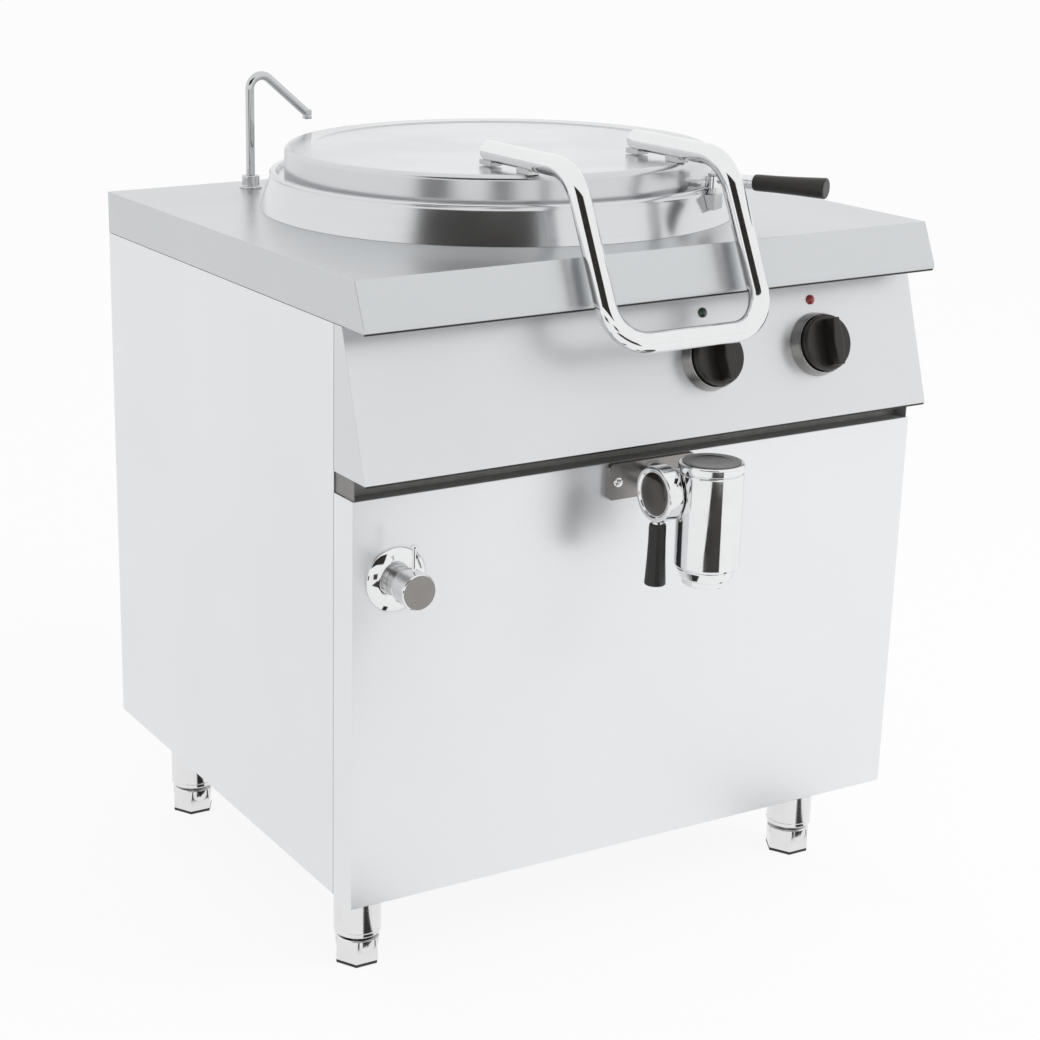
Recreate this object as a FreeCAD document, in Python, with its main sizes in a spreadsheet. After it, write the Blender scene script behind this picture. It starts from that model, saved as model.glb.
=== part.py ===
import FreeCAD, Part
import math
import os
import re

import Sketcher

# Boiling pan with a round 60 litre vessel, on four adjustable legs.
# Millimetres, +Z up, X across the cabinet, -Y towards the cook.
# The origin is under the middle of the whole object, on the floor.
# Local heights and depths below are taken from the front panel's plane (depth)
# and from the worktop or the floor (height), as each comment says.

SIZES = {
    # cabinet
    "cabinet_width": 800, "cabinet_depth": 695, "worktop_height": 877, "leg_height": 127,
    "panel_sheet": 1.5, "worktop_sheet": 2, "seam": 0.5, "return_depth": 45, "edge_flange": 15,
    "skirt_height": 55, "nose_setback": 1, "nose_reach": 23, "nose_drop": 49, "nose_lip": 46,
    "control_height": 168.5, "gap_height": 25, "gap_depth": 22, "tray_height": 25,
    "control_tilt": 17.7, "control_overhang": 27,
    "slot_length": 130, "slot_width": 7, "slot_pitch": 18, "slot_count": 9, "slot_offset": 190,
    "slot_height": 330,
    # pan, measured from the worktop
    "pan_setback": 354, "vessel_radius": 262, "drain_fall": 28, "vessel_sheet": 2,
    "vessel_corner": 32, "vessel_flange": 13, "drain_offset": 200, "drain_bore": 18,
    "collar_base_radius": 305, "collar_rim_radius": 287, "collar_height": 47,
    "collar_seat_radius": 280, "collar_seat_height": 39, "collar_sheet": 2, "collar_rounding": 2.5,
    "opening_radius": 283, "insulation_thickness": 26, "insulation_height": 190,
    "element_rod": 4, "element_first": 70, "element_pitch": 45, "plate_thickness": 3,
    "plate_radius": 172, "rail_height": 34, "rail_width": 40, "rail_offset": 110,
    # lid
    "lid_radius": 273, "lid_height": 78.5, "lid_sheet": 2, "lid_rounding": 7, "liner_height": 6,
    "lid_clearance": 0.3, "lid_bead_radius": 236, "lid_bead": 1.2,
    "bar_radius": 12.5, "bar_spacing": 213, "bar_rise": 95, "bar_back": 205, "bar_knee": 23,
    "bar_front": 71, "bar_drop": 90, "knee_bend": 60, "corner_bend": 48,
    "saddle_width": 16, "saddle_length": 26, "saddle_back": 186, "saddle_front": 104,
    # lid hinge
    "hinge_setback": 677, "hinge_height": 57, "hinge_pin_radius": 6, "hinge_barrel": 11,
    "hinge_width": 84, "hinge_ear": 7, "hinge_foot": 5, "hinge_foot_depth": 30, "hinge_gap": 0.4,
    "arm_floor": 51, "arm_sheet": 14, "running_clearance": 0.05,
    # lid clamp
    "clamp_azimuth": -61, "clamp_radius": 297.5, "clamp_pin_radius": 4, "clamp_boss": 9,
    "clamp_floor": 48, "clamp_arm_floor": 54, "clamp_arm_sheet": 8, "clamp_nose": 18,
    "clamp_nose_angle": 100, "clamp_ferrule_start": 329, "clamp_grip_start": 351,
    "clamp_grip_end": 441, "clamp_rod": 5.5, "clamp_ferrule": 8.5, "clamp_bracket_span": 4.6,
    "keeper_floor": 48.5, "keeper_top": 53.5, "keeper_radius": 285, "keeper_span": 5,
    # grips, shared by the clamp and the drain lever
    "grip_neck": 10, "grip_end": 12.5, "grip_rounding": 2,
    # filling spout
    "spout_across": 216, "spout_setback": 634, "spout_tube": 6, "spout_top": 169,
    "spout_reach": 83, "spout_tip": 98, "spout_bend": 17, "spout_flange": 15,
    "spout_nut": 12, "spout_base_height": 18, "nozzle_radius": 6.5, "nozzle_length": 13,
    "fill_pipe": 6, "fill_bend": 24,
    # mixer tap
    "mixer_inset": 56, "mixer_drop": 98, "mixer_cover": 39, "mixer_cover_depth": 10,
    "mixer_head": 21.5, "mixer_reach": 54, "mixer_head_length": 28, "mixer_stem": 18,
    "mixer_back": 25, "mixer_pin": 2.2, "mixer_pin_length": 52, "mixer_pin_place": 40,
    # knobs and lamps; the lamps are measured down the control panel's slope from its top
    "knob_inset": 158, "knob_pitch": 162, "lamp_drop": 31.9, "lamp_pitch": 55, "lamp_radius": 5,
    "lamp_back": 24, "bezel_radius": 39, "bezel_top": 36.5, "bezel_height": 15, "knob_radius": 34,
    "knob_floor": 1.5, "knob_shoulder": 25, "knob_top": 44, "knob_bar": 17, "shaft_radius": 3,
    "bush_radius": 6, "switch_size": 46, "switch_depth": 40,
    # drain tap
    "tap_drop": 22, "tap_neck": 19, "tap_bore": 12, "tap_inside": 12, "plug_reach": 90,
    "plug_rise": 8, "plug_radius": 23, "housing_radius": 27, "housing_left": 39, "housing_right": 38,
    "tap_reach": 118, "tap_radius": 37.5, "tap_below": 78, "tap_above": 35, "cap_height": 12,
    "chamber_radius": 24, "nozzle_below": 99, "outlet_radius": 27, "outlet_bore": 20,
    "hub_radius": 33, "hub_thickness": 22, "hub_gap": 0.5, "hub_stub": 7, "drain_grip_start": 36,
    "drain_grip_length": 74, "retainer_depth": 6, "flange_width": 124, "flange_height": 44,
    "flange_depth": 8, "flange_hole": 3.5, "flange_bolts": 50, "drain_wall": 2,
    # rear connections
    "inlet_inset": 150, "inlet_pitch": 60, "inlet_rise": 63, "inlet_radius": 10.5,
    "inlet_bore": 7.5, "inlet_reach": 15, "inlet_back": 20, "inlet_nut": 14,
    "gland_inset": 150, "gland_radius": 13, "gland_bore": 6,
    # legs
    "leg_inset": 63, "leg_front": 100, "leg_radius": 29.5, "leg_wall": 2, "leg_bottom": 40,
    "leg_cap": 6, "foot_corner": 29, "foot_height": 36, "stem_radius": 8, "stem_top": 96,
}

# Places worked out from the driving sizes, as formulas.
FRONT = "(tap_reach + tap_radius - cabinet_depth - inlet_reach) / 2"
PANEL_TOP = "(worktop_height - skirt_height - seam)"
GAP_TOP = f"({PANEL_TOP} - control_height)"
GAP_FLOOR = f"({GAP_TOP} - gap_height)"
CONTROL_BACK = "control_height * tan(control_tilt * 1 deg) - control_overhang"
LAMP_RISE = "(control_height / cos(control_tilt * 1 deg) - lamp_drop)"
KNOB_RISE = f"({LAMP_RISE} - lamp_pitch)"
TAP = f"({GAP_FLOOR} - tap_drop)"
PLUG = f"({TAP} + plug_rise)"
TAP_TOP = f"({TAP} + tap_above)"
TAP_BOTTOM = f"({TAP} - tap_below)"
MIXER = f"({GAP_FLOOR} - mixer_drop)"
MIXER_LEFT = "-(cabinet_width / 2 - mixer_inset)"
KNOBS = {
    "knob_left": "cabinet_width / 2 - knob_inset - knob_pitch",
    "knob_right": "cabinet_width / 2 - knob_inset",
}
VESSEL_UNDER = f"({TAP} + drain_fall - worktop_height)"
VESSEL_FLOOR = f"({VESSEL_UNDER} + vessel_sheet)"
PLATE_TOP = f"({VESSEL_UNDER} - 2 * element_rod)"
INLETS = ("cabinet_width / 2 - inlet_inset", "cabinet_width / 2 - inlet_inset - inlet_pitch")
INLET_HEIGHT = "leg_height + inlet_rise"
GLAND = "-(cabinet_width / 2 - gland_inset)"
X_AXIS = FreeCAD.Vector(1, 0, 0)
Y_AXIS = FreeCAD.Vector(0, 1, 0)
Z_AXIS = FreeCAD.Vector(0, 0, 1)

doc = FreeCAD.newDocument("boiling_pan")
sheet = doc.addObject("Spreadsheet::Sheet", "sizes")
parts = []


def fill_sheet():
    """Write each driving size into its own named cell."""
    for row, (alias, value) in enumerate(SIZES.items(), start=1):
        sheet.set(f"A{row}", alias)
        sheet.set(f"B{row}", str(value))
        sheet.setAlias(f"B{row}", alias)
    doc.recompute()


def formula(text):
    """Turn the size names in a formula into references to the sheet."""
    return re.sub(r"[a-z_]{3,}", lambda word: f"sizes.{word[0]}" if word[0] in SIZES else word[0], str(text))


def bind(item, prop, text):
    item.setExpression(prop, formula(text))


def size(text):
    """Value of a formula at the sheet's present sizes, for the shapes made in code."""
    return float(sheet.evalExpression(formula(text)))


def keep(item, label):
    """Give a finished sub-part its name and list it for the export."""
    item.Label = label
    parts.append(item)
    return item


def place(item, x="0", y="0", z="0", axis=None, angle="0"):
    """Put an item at x, y behind the front panel's plane, and z above the floor."""
    if axis is not None:
        item.Placement = FreeCAD.Placement(FreeCAD.Vector(), FreeCAD.Rotation(axis, 45))
        bind(item, "Placement.Rotation.Angle", f"({angle}) * 1 deg")
    bind(item, "Placement.Base.x", x)
    bind(item, "Placement.Base.y", f"{FRONT} + {y}")
    bind(item, "Placement.Base.z", z)
    return item


def origin_plane(body, role):
    return next(item for item in body.Origin.OriginFeatures if item.Role == role)


def outline(sketch, points):
    """Closed outline of straight runs; each corner is tied to a pair of formulas."""
    first = sketch.GeometryCount
    count = len(points)
    corners = [FreeCAD.Vector(size(x), size(y), 0) for x, y in points]
    for index, corner in enumerate(corners):
        sketch.addGeometry(Part.LineSegment(corner, corners[(index + 1) % count]))
    for index in range(count):
        follower = first + (index + 1) % count
        sketch.addConstraint(Sketcher.Constraint("Coincident", first + index, 2, follower, 1))
    for index, (x, y) in enumerate(points):
        tie(sketch, "DistanceX", first + index, 1, x)
        tie(sketch, "DistanceY", first + index, 1, y)


def ring(sketch, x, y, radius):
    """Circle whose centre and radius are tied to formulas."""
    centre = FreeCAD.Vector(size(x), size(y), 0)
    index = sketch.addGeometry(Part.Circle(centre, Z_AXIS, size(radius)))
    tie(sketch, "DistanceX", index, 3, x)
    tie(sketch, "DistanceY", index, 3, y)
    radial = sketch.addConstraint(Sketcher.Constraint("Radius", index, size(radius)))
    bind(sketch, f"Constraints[{radial}]", radius)


def tie(sketch, kind, index, point, text):
    number = sketch.addConstraint(Sketcher.Constraint(kind, -1, 1, index, point, size(text)))
    bind(sketch, f"Constraints[{number}]", text)


def new_sketch(body, role):
    sketch = body.newObject("Sketcher::SketchObject", f"{body.Name}_sketch")
    sketch.AttachmentSupport = [(origin_plane(body, role), "")]
    sketch.MapMode = "FlatFace"
    return sketch


def new_body(name):
    return doc.addObject("PartDesign::Body", name)


def pad(body, sketch, length, symmetric=False):
    feature = body.newObject("PartDesign::Pad", f"{body.Name}_pad")
    feature.Profile = sketch
    feature.SideType = "Symmetric" if symmetric else "One side"
    bind(feature, "Length", length)
    return feature


def pocket(body, sketch, length, symmetric=False, flip=False):
    """Cut a sketch out of the body; a pocket that misses the solid raises."""
    doc.recompute()
    before = body.Shape.Volume
    feature = body.newObject("PartDesign::Pocket", f"{body.Name}_pocket")
    feature.Profile = sketch
    feature.SideType = "Symmetric" if symmetric else "One side"
    feature.Reversed = flip
    bind(feature, "Length", length)
    doc.recompute()
    if body.Shape.Volume > before - 1:
        raise RuntimeError(f"{feature.Name} cuts nothing")
    return feature


def turned(name, points, angle=360):
    """Solid of revolution about the body's Z axis from an outline of radius and height."""
    body = new_body(name)
    sketch = new_sketch(body, "XZ_Plane")
    outline(sketch, points)
    feature = body.newObject("PartDesign::Revolution", f"{name}_turn")
    feature.Profile = sketch
    feature.ReferenceAxis = (sketch, ["V_Axis"])
    if angle == 360:
        feature.Angle = 360
    else:
        feature.Midplane = True
        bind(feature, "Angle", angle)
    doc.recompute()
    return body


def extruded(name, role, points, length, symmetric=True):
    """Straight profile: an outline on one of the body's planes, padded."""
    body = new_body(name)
    sketch = new_sketch(body, role)
    outline(sketch, points)
    pad(body, sketch, length, symmetric)
    doc.recompute()
    return body


def round_circles(body, radius, places):
    """Fillet the circular edges about the body's axis at the given radii and heights."""
    wanted = [(size(r), size(z)) for r, z in places]
    names = []
    for number, edge in enumerate(body.Tip.Shape.Edges, start=1):
        if not isinstance(edge.Curve, Part.Circle):
            continue
        found = (edge.Curve.Radius, edge.Curve.Center.z)
        if any(math.dist(found, place_wanted) < 0.01 for place_wanted in wanted):
            names.append(f"Edge{number}")
    feature = body.newObject("PartDesign::Fillet", f"{body.Name}_fillet")
    feature.Base = (feature.BaseFeature or body.Tip, names)
    bind(feature, "Radius", radius)
    doc.recompute()
    return feature


def cylinder(name, radius, length, x="0", y="0", z="0", along="Z"):
    """Cylinder from a point: upwards, to the right (X) or towards the cook (-Y)."""
    item = doc.addObject("Part::Cylinder", name)
    bind(item, "Radius", radius)
    bind(item, "Height", length)
    if along == "Z":
        return place(item, x, y, z)
    return place(item, x, y, z, X_AXIS if along == "-Y" else Y_AXIS, "90")


def block(name, wide, deep, high, x, y, z):
    """Box centred on x, from y backwards and from z upwards."""
    item = doc.addObject("Part::Box", name)
    bind(item, "Length", wide)
    bind(item, "Width", deep)
    bind(item, "Height", high)
    return place(item, f"{x} - ({wide}) / 2", y, z)


def fused(name, *items):
    result = doc.addObject("Part::MultiFuse", name)
    result.Shapes = list(items)
    return result


def cut(name, base, tool):
    result = doc.addObject("Part::Cut", name)
    result.Base = base
    result.Tool = tool
    return result


def grouped(name, items):
    """Like pieces as separate solids in one sub-part."""
    result = doc.addObject("Part::Compound", name)
    result.Links = items
    return result


def bent_wire(points, bends):
    """Path of straight runs joined by tangent arcs, one bend radius per inner point."""
    edges = []
    start = points[0]
    for before, corner, after, radius in zip(points, points[1:], points[2:], bends):
        inward = (before - corner).normalize()
        outward = (after - corner).normalize()
        half = inward.getAngle(outward) / 2
        reach = radius / math.tan(half)
        first = corner + inward * reach
        last = corner + outward * reach
        middle_way = (inward + outward).normalize()
        middle = corner + middle_way * (radius / math.sin(half) - radius)
        edges.append(Part.LineSegment(start, first).toShape())
        edges.append(Part.Arc(first, middle, last).toShape())
        start = last
    edges.append(Part.LineSegment(start, points[-1]).toShape())
    return Part.Wire(edges)


def tube(name, points, bends, radius, bore=0):
    """Bent rod or tube along a path; the points are triples of formulas."""
    path = bent_wire([FreeCAD.Vector(*[size(value) for value in point]) for point in points], bends)
    start = path.Edges[0]
    way = start.tangentAt(start.FirstParameter)

    def swept(section):
        circle = Part.Circle(path.Vertexes[0].Point, way, section)
        return path.makePipeShell([Part.Wire(circle.toShape())], True, False)

    shape = swept(radius)
    if bore:
        shape = shape.cut(swept(bore))
    item = doc.addObject("Part::Feature", name)
    item.Shape = shape
    return item


# Cabinet

def base_tray():
    """Closed floor of the cabinet, a folded tray that carries the legs."""
    half = "cabinet_width / 2 - panel_sheet - seam"
    back = "cabinet_depth - 2 * panel_sheet"
    body = extruded("base_tray", "XY_Plane", [
        (f"-({half})", "panel_sheet + seam"), (half, "panel_sheet + seam"),
        (half, back), (f"-({half})", back)], "tray_height", symmetric=False)
    hollow = new_sketch(body, "XY_Plane")
    inner = f"{half} - panel_sheet"
    outline(hollow, [
        (f"-({inner})", "2 * panel_sheet + seam"), (inner, "2 * panel_sheet + seam"),
        (inner, f"{back} - panel_sheet"), (f"-({inner})", f"{back} - panel_sheet")])
    bind(hollow, "AttachmentOffset.Base.z", "tray_height")
    pocket(body, hollow, "tray_height - panel_sheet")
    place(keep(body, "base_tray"), z="leg_height")


def side_panel(label, side):
    """Side sheet with a flange folded inwards along its back edge."""
    start = "return_depth + seam"
    outer = f"{side} * cabinet_width / 2"
    inner = f"{side} * (cabinet_width / 2 - panel_sheet)"
    lip = f"{side} * (cabinet_width / 2 - edge_flange)"
    body = extruded(label, "XY_Plane", [
        (outer, start), (inner, start), (inner, "cabinet_depth - panel_sheet"),
        (lip, "cabinet_depth - panel_sheet"), (lip, "cabinet_depth"), (outer, "cabinet_depth")],
        f"{PANEL_TOP} - leg_height", symmetric=False)
    place(keep(body, label), z="leg_height")


def rear_panel():
    """Back sheet inside the side panels' flanges, with two rows of air slots."""
    half = "cabinet_width / 2 - panel_sheet - seam"
    top = f"{PANEL_TOP} - leg_height"
    body = extruded("rear_panel", "XZ_Plane", [
        (f"-({half})", "0"), (half, "0"), (half, top), (f"-({half})", top)],
        "panel_sheet", symmetric=False)
    holes = new_sketch(body, "XZ_Plane")
    for x in INLETS:
        ring(holes, x, "inlet_rise", "inlet_radius - 0.8")
    ring(holes, GLAND, "inlet_rise", "gland_radius - 3")
    pocket(body, holes, "3 * panel_sheet", flip=True)
    slots = new_sketch(body, "XZ_Plane")
    for side in (-1, 1):
        low = f"{side} * slot_offset - slot_length / 2"
        high = f"{side} * slot_offset + slot_length / 2"
        outline(slots, [(low, "slot_height"), (high, "slot_height"),
                        (high, "slot_height + slot_width"), (low, "slot_height + slot_width")])
    slot_row = pocket(body, slots, "3 * panel_sheet", flip=True)
    pattern = body.newObject("PartDesign::LinearPattern", "slot_rows")
    pattern.Originals = [slot_row]
    pattern.Direction = (slots, ["V_Axis"])
    bind(pattern, "Length", "slot_pitch * (slot_count - 1)")
    bind(pattern, "Occurrences", "slot_count")
    body.Tip = pattern
    doc.recompute()
    place(keep(body, "rear_panel"), y="cabinet_depth - panel_sheet", z="leg_height")


def front_panel():
    """Front sheet that wraps round both sides, with holes for the two taps."""
    half = "cabinet_width / 2"
    body = extruded("front_panel", "XY_Plane", [
        (f"-{half}", "return_depth"), (f"-{half}", "0"), (half, "0"), (half, "return_depth"),
        (f"{half} - panel_sheet", "return_depth"), (f"{half} - panel_sheet", "panel_sheet"),
        (f"-{half} + panel_sheet", "panel_sheet"), (f"-{half} + panel_sheet", "return_depth")],
        f"{GAP_FLOOR} - leg_height", symmetric=False)
    holes = new_sketch(body, "XZ_Plane")
    ring(holes, "0", f"{TAP} - leg_height", "tap_neck + 0.1")
    ring(holes, MIXER_LEFT, f"{MIXER} - leg_height", "mixer_stem + 0.1")
    pocket(body, holes, "3 * panel_sheet", symmetric=True)
    place(keep(body, "front_panel"), z="leg_height")


def gap_channel():
    """Folded strip behind the shadow gap between the front and control panels."""
    body = extruded("gap_channel", "YZ_Plane", [
        ("panel_sheet", "-panel_sheet"), ("gap_depth + panel_sheet", "-panel_sheet"),
        ("gap_depth + panel_sheet", "gap_height"), ("gap_depth", "gap_height"),
        ("gap_depth", "0"), ("panel_sheet", "0")], "cabinet_width - 2 * panel_sheet - 2 * seam")
    place(keep(body, "gap_channel"), z=GAP_FLOOR)


def on_slope(item, x, rise, lift="0"):
    """Seat an item on the control panel, rise up its slope, with Z out of the panel."""
    tilt = "control_tilt * 1 deg"
    y = f"-control_overhang + ({rise}) * sin({tilt}) - ({lift}) * cos({tilt})"
    z = f"{GAP_TOP} + ({rise}) * cos({tilt}) + ({lift}) * sin({tilt})"
    return place(item, x, y, z, X_AXIS, "90 - control_tilt")


def control_panel():
    """Sloping panel with end cheeks and a lower lip, drilled for knobs and lamps."""
    high = "control_height"
    body = extruded("control_sheet", "YZ_Plane", [
        (CONTROL_BACK, high), ("-control_overhang", "0"), ("return_depth", "0"),
        ("return_depth", high)], "cabinet_width")
    hollow = new_sketch(body, "YZ_Plane")
    wall = "panel_sheet / cos(control_tilt * 1 deg)"
    outline(hollow, [
        (f"{CONTROL_BACK} + {wall} + 3 * tan(control_tilt * 1 deg)", f"{high} + 3"),
        (f"-control_overhang + {wall} + panel_sheet * tan(control_tilt * 1 deg)", "panel_sheet"),
        ("return_depth + 3", "panel_sheet"), ("return_depth + 3", f"{high} + 3")])
    pocket(body, hollow, "cabinet_width - 2 * panel_sheet", symmetric=True)
    place(body, z=GAP_TOP)
    drills = []
    for name, x in KNOBS.items():
        for part, rise, radius in (("bush", KNOB_RISE, "bush_radius"), ("lamp", LAMP_RISE, "lamp_radius")):
            drill = doc.addObject("Part::Cylinder", f"{part}_hole_{name}")
            bind(drill, "Radius", f"{radius} + 0.1")
            bind(drill, "Height", "6 * panel_sheet")
            drills.append(on_slope(drill, x, rise, "-3 * panel_sheet"))
    keep(cut("control_panel", body, fused("control_holes", *drills)), "control_panel")


def worktop():
    """Pressed top with a slanted front nose, skirts, and the openings for pan and spout."""
    body = extruded("worktop", "YZ_Plane", [
        ("cabinet_depth", "0"), ("-nose_setback", "0"), ("-nose_reach", "-nose_drop"),
        ("-nose_reach", "-skirt_height"), ("cabinet_depth", "-skirt_height")], "cabinet_width")
    hollow = new_sketch(body, "YZ_Plane")
    outline(hollow, [
        ("cabinet_depth - worktop_sheet", "-worktop_sheet"),
        ("-nose_setback + worktop_sheet / 2", "-worktop_sheet"),
        ("-nose_reach + worktop_sheet", "-nose_drop"),
        ("-nose_reach + worktop_sheet", "-skirt_height + worktop_sheet"),
        ("nose_lip - nose_reach", "-skirt_height + worktop_sheet"),
        ("nose_lip - nose_reach", "-skirt_height - 1"),
        ("cabinet_depth - worktop_sheet", "-skirt_height - 1")])
    pocket(body, hollow, "cabinet_width - 2 * worktop_sheet", symmetric=True)
    holes = new_sketch(body, "XY_Plane")
    ring(holes, "0", "pan_setback", "opening_radius")
    ring(holes, "-spout_across", "spout_setback", "fill_pipe + 1")
    pocket(body, holes, "2 * worktop_sheet")
    place(keep(body, "worktop"), z="worktop_height")


# Pan

def at_pan(item):
    """Put an item on the pan's axis, with its zero height on the worktop."""
    return place(item, y="pan_setback", z="worktop_height")


def pan_collar():
    """Conical stainless collar with a rolled rim and the ledge that the lid sits on."""
    base, rim, high = "collar_base_radius", "collar_rim_radius", "collar_height"
    seat, ledge, wall = "collar_seat_radius", "collar_seat_height", "collar_sheet"
    shoulder = f"{rim} + 4.5"
    body = turned("pan_collar", [
        (base, "0"), (shoulder, f"{high} - 6"), (rim, high), (f"{rim} - 3.5", high),
        (seat, ledge), ("vessel_radius + vessel_sheet + 0.3", ledge),
        ("vessel_radius + vessel_sheet + 0.3", f"{ledge} - {wall}"), (f"{seat} + 1", f"{ledge} - {wall}"),
        (f"{rim} - 2.2", f"{high} - {wall}"), (f"{rim} - 1", f"{high} - {wall}"),
        (f"{shoulder} - {wall}", f"{high} - 6.6"), (f"{base} - {wall}", "0")])
    round_circles(body, "collar_rounding", [(shoulder, f"{high} - 6"), (rim, high), (f"{rim} - 3.5", high)])
    at_pan(keep(body, "pan_collar"))


def pan_vessel():
    """Deep-drawn vessel hung from the collar, with the drain hole at its front."""
    inner, outer = "vessel_radius", "vessel_radius + vessel_sheet"
    top = "collar_seat_height"
    hang = "collar_seat_height - collar_sheet"
    body = turned("pan_vessel", [
        ("0", VESSEL_UNDER), (outer, VESSEL_UNDER), (outer, f"{hang} - vessel_sheet"),
        (f"{outer} + vessel_flange", f"{hang} - vessel_sheet"), (f"{outer} + vessel_flange", hang),
        (outer, hang), (outer, top), (inner, top), (inner, VESSEL_FLOOR), ("0", VESSEL_FLOOR)])
    round_circles(body, "vessel_corner", [(inner, VESSEL_FLOOR)])
    round_circles(body, "vessel_corner + vessel_sheet", [(outer, VESSEL_UNDER)])
    hole = new_sketch(body, "XY_Plane")
    ring(hole, "0", "-drain_offset", "drain_bore")
    pocket(body, hole, f"-{VESSEL_UNDER} + 1")
    at_pan(keep(body, "pan_vessel"))


def insulation_jacket():
    """Mineral wool band round the vessel's wall."""
    inner = "vessel_radius + vessel_sheet + 0.3"
    top = "collar_seat_height - collar_sheet - vessel_sheet"
    bottom = f"{top} - insulation_height"
    outer = f"{inner} + insulation_thickness"
    narrow = "opening_radius - 2"
    body = turned("insulation_jacket", [
        (inner, bottom), (outer, bottom), (outer, "-2 * worktop_sheet"),
        (narrow, "-2 * worktop_sheet"), (narrow, f"{top} - 2"), (inner, f"{top} - 2")])
    at_pan(keep(body, "insulation_jacket"))


def heating_elements():
    """Three concentric heating rods pressed against the vessel's floor."""
    rings = []
    for index in range(3):
        rod = doc.addObject("Part::Torus", f"element_{index + 1}")
        bind(rod, "Radius1", f"element_first + {index} * element_pitch")
        bind(rod, "Radius2", "element_rod")
        place(rod, y="pan_setback", z=f"worktop_height + {VESSEL_UNDER} - element_rod")
        rings.append(rod)
    keep(grouped("heating_elements", rings), "heating_elements")


def element_plate():
    """Clamping plate that holds the rods against the vessel."""
    body = turned("element_plate", [
        ("0", f"{PLATE_TOP} - plate_thickness"), ("plate_radius", f"{PLATE_TOP} - plate_thickness"),
        ("plate_radius", PLATE_TOP), ("0", PLATE_TOP)])
    at_pan(keep(body, "element_plate"))


def support_rails():
    """Two hat-section rails across the cabinet that carry the clamping plate."""
    top = f"{PLATE_TOP} - plate_thickness"
    half, brim = "rail_width / 2", "rail_width / 2 + 12"
    rails = []
    for index, side in enumerate((-1, 1)):
        low = f"{top} - rail_height"
        rail = extruded(f"rail_{index + 1}", "YZ_Plane", [
            (f"-({brim})", low), (f"-({half})", low), (f"-({half})", f"{top} - panel_sheet"),
            (half, f"{top} - panel_sheet"), (half, low), (brim, low),
            (brim, f"{low} + panel_sheet"), (f"{half} + panel_sheet", f"{low} + panel_sheet"),
            (f"{half} + panel_sheet", top), (f"-({half}) - panel_sheet", top),
            (f"-({half}) - panel_sheet", f"{low} + panel_sheet"), (f"-({brim})", f"{low} + panel_sheet")],
            "cabinet_width - 2 * panel_sheet - 2 * seam")
        place(rail, y=f"pan_setback + {side} * rail_offset", z="worktop_height")
        rails.append(rail)
    keep(grouped("support_rails", rails), "support_rails")


def drain_pipe():
    """Elbow from the vessel's floor to the tap."""
    y = "pan_setback - drain_offset"
    top = f"worktop_height + {VESSEL_UNDER}"
    item = tube("drain_pipe", [("0", y, top), ("0", y, TAP), ("0", "tap_inside", TAP)],
                [size("drain_fall") * 0.999], size("drain_bore + drain_wall"), size("drain_bore"))
    place(keep(item, "drain_pipe"))


# Lid, closed

def lid_shell():
    """Flat pressed lid with a rounded rim, a shallow bead and a deep skirt."""
    low = "collar_seat_height + lid_clearance"
    bead = "lid_bead_radius"
    body = turned("lid_shell", [
        ("0", "lid_height - lid_bead"), (f"{bead} - 3", "lid_height - lid_bead"), (bead, "lid_height"),
        ("lid_radius", "lid_height"), ("lid_radius", low), ("lid_radius - lid_sheet", low),
        ("lid_radius - lid_sheet", "lid_height - lid_sheet"), (bead, "lid_height - lid_sheet"),
        (f"{bead} - 3", "lid_height - lid_sheet - lid_bead"), ("0", "lid_height - lid_sheet - lid_bead")])
    round_circles(body, "lid_rounding - lid_sheet", [("lid_radius - lid_sheet", "lid_height - lid_sheet")])
    round_circles(body, "lid_rounding", [("lid_radius", "lid_height")])
    at_pan(keep(body, "lid_shell"))


def lid_liner():
    """Dished under-plate that closes the lid from below."""
    low = "collar_seat_height + lid_clearance + liner_height"
    edge = "lid_radius - lid_sheet - 0.2"
    body = turned("lid_liner", [
        ("0", low), (f"{edge} - 20", low), (f"{edge} - 2", f"{low} - 4"), (edge, f"{low} - 4"),
        (edge, f"{low} - 4 + lid_sheet"), (f"{edge} - 20", f"{low} + lid_sheet"),
        ("0", f"{low} + lid_sheet")])
    at_pan(keep(body, "lid_liner"))


def lid_handle():
    """One bent bar: two runs on the lid, down over the nose, joined by the grip bar."""
    half = "bar_spacing / 2"
    side = [("bar_back", "bar_rise"), ("bar_knee", "bar_rise"), ("-bar_front", "-bar_drop")]
    points = [(f"-{half}", y, z) for y, z in side] + [(half, y, z) for y, z in reversed(side)]
    bends = [size(name) for name in ("knee_bend", "corner_bend", "corner_bend", "knee_bend")]
    place(keep(tube("lid_handle", points, bends, size("bar_radius")), "lid_handle"), z="worktop_height")


def handle_saddles():
    """Four blocks, hollowed to the bar, between the bar and the lid."""
    blocks = []
    bars = []
    for side in (-1, 1):
        x = f"{side} * bar_spacing / 2"
        for name in ("saddle_back", "saddle_front"):
            blocks.append(block(f"{name}_{side + 2}", "saddle_width", "saddle_length",
                                "bar_rise - lid_height", x, name, "worktop_height + lid_height"))
        bars.append(cylinder(f"bar_seat_{side + 2}", "bar_radius", "bar_back", x,
                             "bar_back + 30", "worktop_height + bar_rise", "-Y"))
    keep(cut("handle_saddles", grouped("saddle_blocks", blocks), fused("bar_seats", *bars)), "handle_saddles")


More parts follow.
